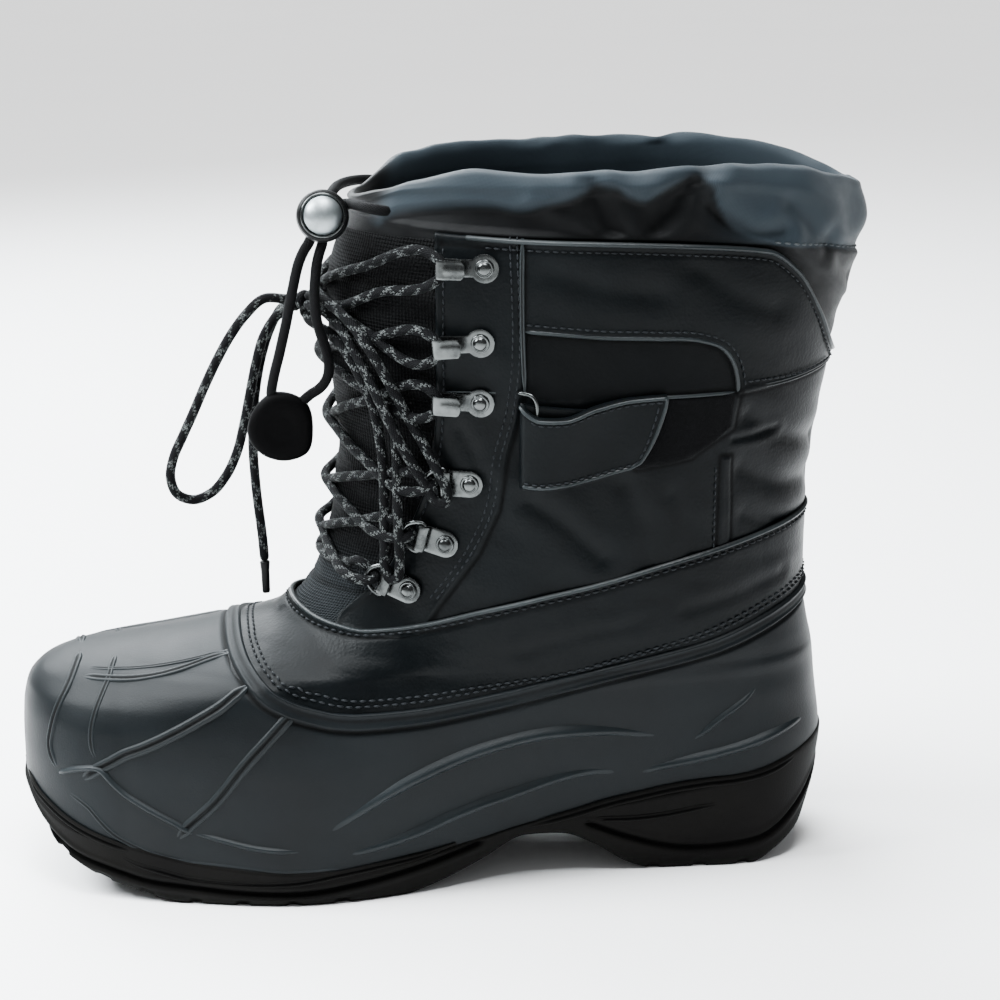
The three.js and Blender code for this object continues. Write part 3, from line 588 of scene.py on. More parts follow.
@dataclass(frozen=True)
class CoatedLeather:
    """Black coated leather with fine grain and creases.

    Fields are its name, the colours it clouds between, how dull it is, its grains in a metre, and
    the strength of its gloss.
    """

    name: str
    deep: tuple
    worn: tuple
    dull: float = 0.4
    grain: float = 900.0
    gloss: float = 0.06

    def make(self) -> bpy.types.Material:
        """Grain cells and creases as bumps, tone by cloud, and painted shade along seams from the mark."""
        shop = Shop(self.name)
        cloud = shop.noise(17, 4)
        grain = shop.cells(self.grain)
        crease = shop.noise(160, 5, rough=0.65)
        painted_shade = shop.mark("painted_shade")
        tone = shop.blend(cloud.above(0.3, 0.75), self.deep, self.worn)
        # painted shade: marked seams take a darker copy of the leather's colour
        dark = tuple(0.2 * part for part in self.deep)
        colour = shop.blend(painted_shade.above(0.0, 0.9), tone, dark)
        roughness = self.dull + (cloud - 0.5) * 0.2 + (crease - 0.5) * 0.12 + painted_shade * 0.4
        normal = shop.bump(grain * 0.5 + crease * 1.4, 0.00012)
        return shop.finish(colour, roughness, normal, Specular_IOR_Level=self.gloss)


@dataclass(frozen=True)
class WovenCloth:
    """Cloth of crossed threads, from fine nylon to coarse canvas.

    The weave follows the piece's own map, whose unit is a millimetre of cloth. Fields are its
    name, the colours of the threads and of the painted shade between them, the threads' spacing in
    millimetres, their height in metres, how dull it is, its sheen, and how far its tone wanders.
    """

    name: str
    thread: tuple
    shaded_gap: tuple
    pitch: float
    depth: float
    dull: float
    sheen: float = 0.3
    slub: float = 0.25

    def make(self) -> bpy.types.Material:
        """Over and under threads: the product of two waves sets which thread is on top."""
        shop = Shop(self.name)
        across, along = shop.threads()
        turns = math.pi / self.pitch
        first, second = (across * turns).wave(), (along * turns).wave()
        over = first * second
        ridge = (1 - first * first) * (over * 0.5 + 0.5) + (1 - second * second) * (0.5 - over * 0.5)
        uneven = shop.noise(420, 2)
        cloud = shop.noise(20, 3)
        painted_shade = shop.mark("painted_shade")
        # painted shade: between the threads the cloth takes the darker shaded_gap colour
        tone = shop.blend(ridge.above(0.05, 0.75), self.shaded_gap, self.thread)
        worn = shop.blend((cloud - 0.35) * self.slub * 2, tone, tuple(1.7 * part for part in self.thread))
        # painted shade: places marked on the piece go nearly black
        colour = shop.blend(painted_shade.above(0.0, 1.0), worn, tuple(0.08 * part for part in self.shaded_gap))
        roughness = self.dull + (uneven - 0.5) * 0.2
        normal = shop.bump(ridge + (uneven - 0.5) * 0.5, self.depth)
        return shop.finish(colour, roughness, normal, Sheen_Weight=self.sheen, Sheen_Roughness=0.4,
                           Specular_IOR_Level=0.07)


@dataclass(frozen=True)
class BraidedCord:
    """Braided cord with a few light threads, mapped round and along the cord.

    Fields are its name, the colours of the braid and of the light threads, how many of those
    there are, and how close the plait is.
    """

    name: str
    thread: tuple
    fleck: tuple
    flecked: float
    plait: float = 1.0

    def make(self) -> bpy.types.Material:
        """Two spiral waves cross as a braid; light tracer threads show where they pass on top."""
        shop = Shop(self.name)
        around, along = shop.threads()
        first = around * 12 + along * 0.8 * self.plait
        second = around * 12 - along * 0.8 * self.plait
        braid = 1 - ((first * math.pi).wave() * (second * math.pi).wave()).size()
        one, other = first.whole(), second.whole()
        top = (one + other).within(2.0) > 0.5
        broken = shop.noise(260, 1).above(0.34, 0.44)
        light = top * (self.flecked > one.within(6.0)) + (1 - top) * (self.flecked > other.within(12.0))
        light = light * broken
        fuzz = shop.noise(2600, 2)
        # painted shade: the braid's valleys take a darker copy of the thread's colour
        base = shop.blend(braid.above(0.1, 0.9), tuple(0.35 * part for part in self.thread), self.thread)
        pale = shop.blend(fuzz.above(0.35, 0.7), self.thread, self.fleck)
        colour = shop.blend(light * braid.above(0.12, 0.4), base, pale)
        normal = shop.bump(braid + fuzz * 0.3, 0.0002)
        return shop.finish(colour, 0.72 + (fuzz - 0.5) * 0.2, normal, Specular_IOR_Level=0.06)


@dataclass(frozen=True)
class PolishedMetal:
    """Nickelled steel with fine rubbing: its name, its two tones and its roughness."""

    name: str
    bright: tuple
    spotted: tuple
    gloss: float = 0.2

    def make(self) -> bpy.types.Material:
        """Tone and roughness by cloud, with a faint hammered bump."""
        shop = Shop(self.name)
        cloud, fine = shop.noise(160, 4), shop.noise(900, 3)
        colour = shop.blend(cloud.above(0.35, 0.75), self.bright, self.spotted)
        roughness = self.gloss + (cloud - 0.4) * 0.25 + (fine - 0.5) * 0.1
        return shop.finish(colour, roughness, shop.bump(cloud + fine * 0.3, 0.00006), Metallic=1.0)


@dataclass(frozen=True)
class MouldedPlastic:
    """Hard plastic, a little uneven: its name, its colour, its roughness and its gloss."""

    name: str
    colour: tuple
    dull: float
    gloss: float = 0.09

    def make(self) -> bpy.types.Material:
        """Fine speckle on tone, roughness and bump."""
        shop = Shop(self.name)
        fine, cloud = shop.noise(1200, 2), shop.noise(60, 3)
        colour = shop.blend(cloud, self.colour, tuple(1.8 * part for part in self.colour))
        return shop.finish(colour, self.dull + (fine - 0.5) * 0.15 + (cloud - 0.5) * 0.2,
                           shop.bump(fine + cloud, 0.00005), Specular_IOR_Level=self.gloss)


@dataclass(frozen=True)
class Felt:
    """Matted wool felt or looped fleece: its name, its colour and its sheen."""

    name: str
    colour: tuple
    sheen: float = 0.05

    def make(self) -> bpy.types.Material:
        """Fibres as stretched noise over a cloudy grey."""
        shop = Shop(self.name)
        fibres, cloud = shop.noise(900, 6, rough=0.75), shop.noise(45, 4)
        tone = shop.blend(fibres.above(0.3, 0.7), tuple(0.55 * part for part in self.colour),
                          tuple(1.4 * part for part in self.colour))
        colour = shop.blend((cloud - 0.3) * 0.5, tone, tuple(0.6 * part for part in self.colour))
        return shop.finish(colour, 0.95, shop.bump(fibres + cloud, 0.0005), Sheen_Weight=self.sheen,
                           Sheen_Roughness=0.6, Specular_IOR_Level=0.25 * self.sheen)


class Slot(Enum):
    """The record's material slots."""

    SHELL = "shell_rubber"
    SOLE = "sole_rubber"
    LEATHER = "upper_leather"
    NYLON = "collar_nylon"
    CANVAS = "tongue_canvas"
    FELT = "lining_felt"
    LACE = "lace"
    STEEL = "steel"
    PLASTIC = "black_plastic"


FINISHES = {
    Slot.SHELL: MouldedRubber("shell rubber", (0.0013, 0.0021, 0.0026), (0.0032, 0.0047, 0.0056), 0.47,
                              gloss=0.09),
    Slot.SOLE: MouldedRubber("sole rubber", (0.0012, 0.0011, 0.0010), (0.0034, 0.0032, 0.0027), 0.56,
                             gloss=0.04),
    Slot.LEATHER: CoatedLeather("upper leather", (0.0007, 0.0012, 0.0015), (0.0020, 0.0029, 0.0034), 0.42),
    Slot.NYLON: WovenCloth("collar nylon", (0.0150, 0.0215, 0.0265), (0.0060, 0.0088, 0.0115), 0.45,
                           0.00004, 0.55, 0.10),
    Slot.CANVAS: WovenCloth("tongue canvas", (0.0110, 0.0130, 0.0145), (0.0005, 0.0006, 0.0007), 1.3,
                            0.0005, 0.85, 0.0),
    Slot.FELT: Felt("lining felt", (0.022, 0.0235, 0.026)),
    Slot.LACE: BraidedCord("flecked lace", (0.0016, 0.0018, 0.0022), (0.13, 0.14, 0.138), 2.0),
    Slot.STEEL: PolishedMetal("nickelled steel", (0.078, 0.083, 0.082), (0.032, 0.034, 0.034), 0.23),
    Slot.PLASTIC: MouldedPlastic("black plastic", (0.0014, 0.0015, 0.0016), 0.40),
}
# a lighter copy of the shell rubber for the moulded lines: a painted highlight
RIB_HIGHLIGHT_RUBBER = MouldedRubber("shell rubber with painted highlight", (0.0036, 0.0052, 0.0060), (0.0074, 0.0100, 0.0114), 0.40,
                           gloss=0.12)
# a lighter copy of the leather for the folded edges and the strap's hem: a painted highlight
EDGE_HIGHLIGHT_LEATHER = CoatedLeather("leather edge with painted highlight", (0.0055, 0.0076, 0.0084), (0.0190, 0.0235, 0.0250), 0.34,
                            gloss=0.16)
LOOP_TAPE = Felt("black loop tape", (0.0018, 0.0019, 0.0021), 0.02)
SEWING_THREAD = MouldedPlastic("sewing thread", (0.006, 0.007, 0.008), 0.5)
# a paler thread for the collar's rear hem: a painted highlight on its stitches
HEM_THREAD_HIGHLIGHT = MouldedPlastic("sewing thread with painted highlight", (0.03, 0.034, 0.036), 0.5)
PEWTER = PolishedMetal("pewter", (0.27, 0.30, 0.31), (0.17, 0.19, 0.19), 0.40)
BLACK_CORD = BraidedCord("black drawcord", (0.0022, 0.0023, 0.0026), (0.02, 0.02, 0.022), 0.0, 1.4)
SOFT_PLASTIC = MouldedPlastic("soft black plastic", (0.0006, 0.0006, 0.00065), 0.6, 0.02)


class Wardrobe:
    """Makes each finish once and dresses pieces in it."""

    def __init__(self) -> None:
        self.made: dict = {}

    def material(self, finish: Any) -> bpy.types.Material:
        """The finish's material, made the first time it is asked for."""
        if finish.name not in self.made:
            self.made[finish.name] = finish.make()
        return self.made[finish.name]


WARDROBE = Wardrobe()


# ---------------------------------------------------------------- meshes


@dataclass
class Surface:
    """Points and faces of a piece, in millimetres of the maker's frame.

    Fields are the points, faces as rows of indices, the map of the cloth for each point, the
    painted shade in seams and hollows for each point, and the map's length once round, if it closes.
    """

    points: Array
    faces: list
    cloth: Optional[Array] = None
    painted_shade: Optional[Array] = None
    period: float = 0.0

    def turned(self) -> "Surface":
        """This surface with its faces turned the other way."""
        self.faces = [block[:, ::-1] for block in self.faces]
        return self

    def mapped(self) -> Array:
        """The map at each corner; a face across the map's seam goes on past its end."""
        corners = []
        for block in self.faces:
            uv = self.cloth[block]
            if self.period and block.shape[1] == 4:
                behind = uv[..., 0] < uv[..., 0].max(axis=1, keepdims=True) - self.period / 2
                uv[..., 0] += self.period * behind
            corners.append(uv.reshape(-1, 2))
        return np.concatenate(corners)

    def shown(self, name: str, slot: Slot, *nodes: str, body: str = BODY, finish: Any = None,
              merge: float = 0.0, wall: float = 0.0, rim: float = 0.0) -> bpy.types.Object:
        """Make the piece.

        Args:
            name: Name of the piece.
            slot: The record's slot it takes its finish from.
            nodes: CAD nodes it stands for.
            body: CAD body it rides on.
            finish: Finish other than the slot's own.
            merge: Distance within which doubled points are joined.
            wall: Thickness given inwards.
            rim: Width of a bevel on hard edges.

        Returns:
            The object.
        """
        mesh = bpy.data.meshes.new(name)
        points = (self.points - ORIGIN) * MM
        mesh.vertices.add(len(points))
        mesh.vertices.foreach_set("co", points.astype(np.float32).ravel())
        corners = np.concatenate([block.ravel() for block in self.faces])
        sizes = np.concatenate([np.full(len(block), block.shape[1]) for block in self.faces])
        mesh.loops.add(len(corners))
        mesh.loops.foreach_set("vertex_index", corners.astype(np.int32))
        mesh.polygons.add(len(sizes))
        mesh.polygons.foreach_set("loop_start", (np.cumsum(sizes) - sizes).astype(np.int32))
        mesh.update(calc_edges=True)
        mesh.polygons.foreach_set("use_smooth", np.ones(len(sizes), bool))
        if self.cloth is not None:
            layer = mesh.uv_layers.new(name="cloth")
            layer.data.foreach_set("uv", self.mapped().astype(np.float32).ravel())
        # painted shade: the darkness painted into seams, grooves and hollows is stored on the points, and the
        # finishes darken their colour by it
        mark = mesh.attributes.new("painted_shade", "FLOAT", "POINT")
        shade = np.zeros(len(points)) if self.painted_shade is None else self.painted_shade
        mark.data.foreach_set("value", shade.astype(np.float32))
        mesh.validate()
        piece = bpy.data.objects.new(name, mesh)
        bpy.context.scene.collection.objects.link(piece)
        piece.data.materials.append(WARDROBE.material(finish or FINISHES[slot]))
        if merge:
            weld = piece.modifiers.new("weld", "WELD")
            weld.merge_threshold = merge * MM
        if wall:
            solid = piece.modifiers.new("wall", "SOLIDIFY")
            solid.thickness, solid.offset, solid.use_even_offset = wall * MM, -1, False
        if rim:
            bevel = piece.modifiers.new("rim", "BEVEL")
            bevel.width, bevel.segments, bevel.limit_method = rim * MM, 2, "ANGLE"
            bevel.angle_limit, bevel.harden_normals = math.radians(40), False
        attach(piece, body)
        if nodes:
            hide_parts(*nodes)
        log.info("%s: %d points", name, len(points))
        return piece


def joined(*parts: Surface) -> Surface:
    """Several surfaces as one; a part without a map or painted shade has noughts in their place."""
    count = [len(part.points) for part in parts]
    starts = np.cumsum([0, *count])
    faces = [block + start for part, start in zip(parts, starts) for block in part.faces]
    cloth = [np.zeros((n, 2)) if part.cloth is None else part.cloth for part, n in zip(parts, count)]
    painted_shade = [np.zeros(n) if part.painted_shade is None else part.painted_shade for part, n in zip(parts, count)]
    return Surface(np.concatenate([part.points for part in parts]), faces, np.concatenate(cloth),
                   np.concatenate(painted_shade), parts[0].period)


def grid_faces(rows: int, columns: int, around: bool = False) -> Array:
    """Quads of a grid of points whose rows go up and columns go round, facing outwards.

    Args:
        rows: Rows of points.
        columns: Points in a row.
        around: Whether each row closes on itself.

    Returns:
        Faces, four indices each.
    """
    index = np.arange(rows * columns).reshape(rows, columns)
    if around:
        index = np.concatenate([index, index[:, :1]], axis=1)
    quads = np.stack([index[:-1, :-1], index[:-1, 1:], index[1:, 1:], index[1:, :-1]], -1)
    return quads.reshape(-1, 4)


def grid(points: Array, around: bool = False, cloth: Optional[Array] = None,
         painted_shade: Optional[Array] = None, ends: bool = False) -> Surface:
    """Surface over a grid of points, rows by columns.

    Args:
        points: Array of rows, columns and coordinates.
        around: Whether each row closes on itself.
        cloth: Map of each point, or None.
        painted_shade: Painted shade of each point, or None.
        ends: Whether the first and last rows are closed by a face each.

    Returns:
        The surface.
    """
    rows, columns = points.shape[:2]
    faces = [grid_faces(rows, columns, around)]
    if ends:
        ring = np.arange(columns)[None]
        faces += [ring[:, ::-1], ring + (rows - 1) * columns]
    return Surface(points.reshape(-1, 3), faces, None if cloth is None else cloth.reshape(-1, 2),
                   None if painted_shade is None else painted_shade.ravel())


def across_of(ahead: Array) -> Array:
    """One level direction across another, or one along the boot's side where that stands up."""
    return unit(np.cross(ahead, [0.0, 0.0, 1.0] if abs(ahead[2]) < 0.9 else [1.0, 0.0, 0.0]))


def frames_along(path: Array) -> tuple:
    """Two directions across a path that turn as little as they can.

    Args:
        path: Points of the path.

    Returns:
        The two unit directions, one row a point.
    """
    ahead = unit(np.gradient(path, axis=0))
    first = np.zeros_like(ahead)
    first[0] = across_of(ahead[0])
    for i in range(1, len(path)):
        first[i] = unit(first[i - 1] - ahead[i] * (first[i - 1] @ ahead[i]))
    return first, np.cross(ahead, first)


def rope(path: Array, radius: float, sides: int = 16) -> Surface:
    """Round cord along a path: a circle carried along it, rounded over at both ends.

    Args:
        path: Points of the path, close together.
        radius: The cord's radius.
        sides: Points round the cord.

    Returns:
        A closed surface whose map runs once round and in millimetres along.
    """
    first, second = frames_along(path)
    length = lengths(path)
    near_end = np.clip(np.minimum(length, length[-1] - length) / radius, 0.04, 1)
    wide = radius * np.sqrt(1 - (1 - near_end) ** 2)
    angle = np.linspace(0, 2 * math.pi, sides, endpoint=False)
    ring = np.cos(angle)[:, None] * first[:, None] + np.sin(angle)[:, None] * second[:, None]
    cloth = np.stack(np.broadcast_arrays(angle[None] / (2 * math.pi), length[:, None]), axis=-1)
    made = grid(path[:, None] + ring * wide[:, None, None], around=True, cloth=cloth, ends=True)
    made.period = 1.0
    return made.turned()


def lathe(profile: Array, centre: Array, axis: Array, sides: int = 40) -> Surface:
    """Turn a profile of radius and height about an axis.

    Args:
        profile: Rows of radius and height, from one end of the axis to the other.
        centre: Where height is 0.
        axis: Direction of the axis.
        sides: Points round it.

    Returns:
        The surface, closed at the ends by a face each.
    """
    up = unit(np.asarray(axis, float))
    side = across_of(up)
    angle = np.linspace(0, 2 * math.pi, sides, endpoint=False)
    ring = np.cos(angle)[:, None] * side + np.sin(angle)[:, None] * np.cross(up, side)
    radius, height = profile[:, 0], profile[:, 1]
    points = np.asarray(centre) + radius[:, None, None] * ring[None] + height[:, None, None] * up
    return grid(points, around=True, ends=True)


# ---------------------------------------------------------------- shell and outsole


@dataclass(frozen=True)
class Welt:
    """A narrow raised line that stands on a surface: a moulded rib, a folded edge or a crease.

    Fields are its route, half its width, its height, how much painted shade its feet and its middle
    get (a shaded middle is also sunk, so the line reads as a crease between two lips), over how many
    millimetres its ends fade, how far the surface is above the form, and the faces it is on. A
    route's points are x and z on the side view, or x, y and z on the outer face.
    """

    route: tuple
    half: float = 1.4
    height: float = 0.8
    foot: float = 0.5
    crack: float = 0.0
    fade: float = 7.0
    lift: float = 0.8
    sides: tuple = (1, -1)

    def path(self, side: int) -> tuple:
        """The route on one face, and the outward direction along it."""
        points = curve(self.route, 2.0)
        x, z = points[:, 0], points[:, -1]
        turn = side * FORM_OF_BOOT.turn_at(x, z)
        if points.shape[1] == 2:
            return FORM_OF_BOOT.skin(turn, z, self.lift)
        out = FORM_OF_BOOT.normal(turn, z)
        if side < 0:
            points[:, 1] = 2 * FORM_OF_BOOT.middle(x, z) - points[:, 1]
        return points + out * self.lift, out

    def laid(self, path: Array, out: Array) -> Surface:
        """Lay the line along a path on a surface.

        Args:
            path: Points of the path.
            out: Outward direction at each.

        Returns:
            The strip, its feet a little under the surface.
        """
        across = unit(np.cross(np.gradient(path, axis=0), out))
        length = lengths(path)
        end = smooth(np.minimum(length, length[-1] - length), -0.4, self.fade)[:, None]
        u = np.linspace(-1, 1, 11)[None]
        sunk = self.crack * bump(u, 0.36)
        plump = 0.75 if self.crack else 1.3
        rise = end * self.height * np.cos(np.pi * u / 2).clip(0) ** plump * (1 - sunk)
        rise = rise - 0.30 * np.abs(u) ** 6 - 0.12 * (1 - end)
        wide = u * self.half * (0.45 + 0.55 * end)
        points = path[:, None] + across[:, None] * wide[..., None] + out[:, None] * rise[..., None]
        # painted shade at the strip's feet and in its sunk middle
        shade = np.clip(self.foot * np.abs(u) ** 4 + sunk, 0, 1) * end
        return grid(points[:, ::-1], painted_shade=shade[:, ::-1])

    def surfaces(self) -> list:
        """The strip on each face it is on."""
        return [self.laid(*self.path(side)) for side in self.sides]


def welted(name: str, slot: Slot, welts: Sequence, finish: Any = None) -> bpy.types.Object:
    """Make one piece of several raised lines."""
    return joined(*[part for welt in welts for part in welt.surfaces()]).shown(name, slot, finish=finish)


@dataclass
class MouldedShell:
    """The moulded rubber shell round the foot, with its flange, ribs, bumper and ledges."""

    rows: int = 150
    columns: int = 440
    proud: float = 0.8
    flange: float = 6.0
    lines: tuple = (
        Welt(((281.6, -1, 81.5), (281.8, 3.2, 81.2), (282.8, 12.1, 79.2), (284.4, 18, 76),
              (286.9, 21.9, 71.6), (289.2, 23.6, 66.5), (290.8, 24.2, 60.9), (291.8, 24.4, 55.5),
              (290.8, 26.3, 50.7),
              (288.7, 28.7, 46.1)), half=1.9, height=1.0, crack=0.9),
        Welt(((267.5, 7, 83.2), (268.9, 16.8, 81.2), (269.8, 23, 78.8), (271.8, 27.7, 75.1),
              (274, 31.7, 70.5), (275.5, 33.8, 65.5), (276, 35.2, 60.3), (275.4, 36.4, 56.1),
              (274.1, 37.7, 52.6)), half=1.4, height=0.7, crack=0.8),
        Welt(((280.9, 12.5, 79.7), (268.8, 18.1, 80.9), (258.5, 21, 81.9), (247.4, 22.9, 83.7),
              (236.4, 23.5, 85.9), (226.1, 23, 88.4)), half=1.2, height=0.6, crack=0.8),
        Welt(((280.7, 16.9, 78.2), (270.1, 22.7, 78.9), (260.1, 26.5, 79.9), (251, 28, 81.4),
              (241.8, 27.4, 83.6), (232.7, 25.6, 86.1), (225, 24.7, 88.2)),
             half=1.9, height=0.9, crack=0.9),
        Welt(((279.6, 35.4, 45.7), (274.2, 37.9, 50), (269.7, 39.4, 52.7), (264.1, 40.8, 56.2),
              (257.4, 42.7, 59.2), (251.1, 44.1, 62.4), (243.8, 45.2, 66.3), (236.5, 45.8, 70.5),
              (229.2, 46.1, 74.9), (223.4, 45.3, 79), (219.4, 44.6, 81.8)),
             half=2.5, height=1.25, crack=1.0, fade=4),
        Welt(((245.9, 47.5, 25.7), (242.1, 48.4, 30.3), (236.5, 49.6, 35.7), (232.1, 50.5, 40.1),
              (227.6, 51.2, 45.7), (222.7, 51.7, 52.2), (217.5, 51.9, 58.3), (212.4, 51.8, 63.8),
              (206.8, 51.2, 69.8), (202.6, 50.5, 74.2)), half=2.5, height=1.25, crack=1.0, fade=5),
        Welt(((288.7, 28.7, 45.7), (280.9, 34.4, 49.2), (272.7, 38.6, 49.8), (269.2, 40.1, 46),
              (264.6, 41.8, 41.8), (259.3, 43.8, 38.5), (252.1, 46, 34.6), (245.7, 47.5, 31.2),
              (240.4, 48.8, 28)), half=1.5, height=1.4, foot=0.9, fade=3),
        Welt(((240.4, 48.8, 28), (234.3, 50.1, 27), (227.1, 51.7, 25.3), (219.9, 53, 23.6),
              (212, 54.1, 22.4), (201.9, 54.9, 21.5)), half=1.4, height=1.3, foot=0.9, fade=10),
        Welt(((192.7, 54.7, 27.6), (185.4, 54.3, 32.6), (178, 53.7, 37.1), (170.7, 53, 41.6),
              (163.3, 52.3, 45.7), (156, 51.5, 49), (146.7, 50.5, 52.8), (137.5, 49.4, 55.9),
              (128.2, 48.3, 58.2), (118.9, 47.2, 60), (109.6, 46.1, 60.9), (98.3, 44.7, 60.7),
              (86.9, 43.1, 59.6), (75.5, 41.5, 57.4), (63.9, 40.1, 54.8)),
             half=2.9, height=2.5, foot=0.3, fade=45),
        Welt(((189.3, 54.3, 18.6), (178.3, 52.8, 20.2), (167.1, 50.8, 22.8), (157.8, 49.1, 25.8),
              (146.6, 47.4, 30.3), (135.4, 45.7, 33.9), (124.1, 44.2, 36.9), (112.8, 43.1, 40.1),
              (103.4, 42.4, 42.2), (94, 41.6, 43.1), (82.5, 40.3, 42.1)),
             half=2.6, height=2.3, foot=0.3, fade=40),
        Welt(((56.2, 39.2, 52.5), (50.6, 39.1, 56.6), (45, 38.9, 61.5), (39.4, 38.4, 65.4),
              (34.3, 37.3, 69.2), (30.3, 35.6, 73.1)), half=1.5, height=1.3, foot=0.3, fade=12),
        Welt(((76.8, 39.6, 40.8), (67.3, 39.2, 43), (55.9, 38.6, 45.3), (44.5, 38, 47.5),
              (32.9, 36.8, 50.2), (24.1, 34.5, 52.6), (15.5, 30, 54.9), (8.7, 23.6, 56.2)),
             half=2.4, height=2.0, foot=0.3, fade=25),
        Welt(((287.9, 29.7, 39.7), (282.2, 34, 37.7), (277.8, 36.7, 34.7), (274, 38.6, 30.2),
              (269.4, 40.5, 25.7), (261.8, 43, 21.7), (252.8, 45.8, 18.2), (243.7, 48, 16.4),
              (232.9, 50.5, 15.6), (222, 52.6, 14.7), (209.4, 54.4, 13.3), (196.7, 54.8, 13.3),
              (183.9, 53.5, 13.7)), half=1.3, height=0.45, crack=0.9, fade=8),
    )

    def lift(self, points: Array, edge: Array) -> tuple:
        """Height of the shell above the form, and the painted shade in its grooves.

        Args:
            points: Places on the form.
            edge: The shell's top edge.

        Returns:
            Lift and painted shade of each place.
        """
        down = away(points, edge)
        band = smooth(down, 0, 1.0) * smooth(-down, -self.flange - 0.8, -self.flange + 0.6)
        lift = self.proud * smooth(down, 0, 0.9) - 0.5 * (1 - smooth(down, 0, 0.9)) + 0.75 * band
        lift += 0.55 * bump(down - 1.0, 0.8) + 0.5 * bump(down - self.flange + 0.4, 0.8)
        lift -= 0.55 * bump(down - self.flange - 1.3, 0.8)
        # painted shade in the groove beyond the flange and along a line under the edge
        painted_shade = 0.8 * bump(down - self.flange - 1.2, 1.0) + 0.5 * bump(down - 3, 0.9)
        lift += 0.12 * swell(points, 55, 1.0) + 0.04 * swell(points, 19, 2.0)
        return lift, np.clip(painted_shade, 0, 1)

    def build(self) -> None:
        """Make the shell, meridians from the sole's rim to the seam, and its moulded lines."""
        turn = round_turns(self.columns)
        low = FORM_OF_BOOT.meet(turn, SOLE_RIM) - 1.2
        z = FORM_OF_BOOT.spread(turn, low, FORM_OF_BOOT.meet(turn, SHELL_SEAM), self.rows)
        wide = np.broadcast_to(turn, z.shape)
        points = FORM_OF_BOOT.point(wide, z)
        edge = np.concatenate([points[-1, ::4], points[-1, :1]])
        lift, painted_shade = self.lift(points, edge)
        lift[0] -= 0.8
        grid(points + FORM_OF_BOOT.normal(wide, z) * lift[..., None], True, painted_shade=painted_shade).shown(
            "moulded_shell", Slot.SHELL, "shell")
        # the moulded lines wear the lighter rubber, a painted highlight
        welted("shell_lines", Slot.SHELL, self.lines, RIB_HIGHLIGHT_RUBBER)


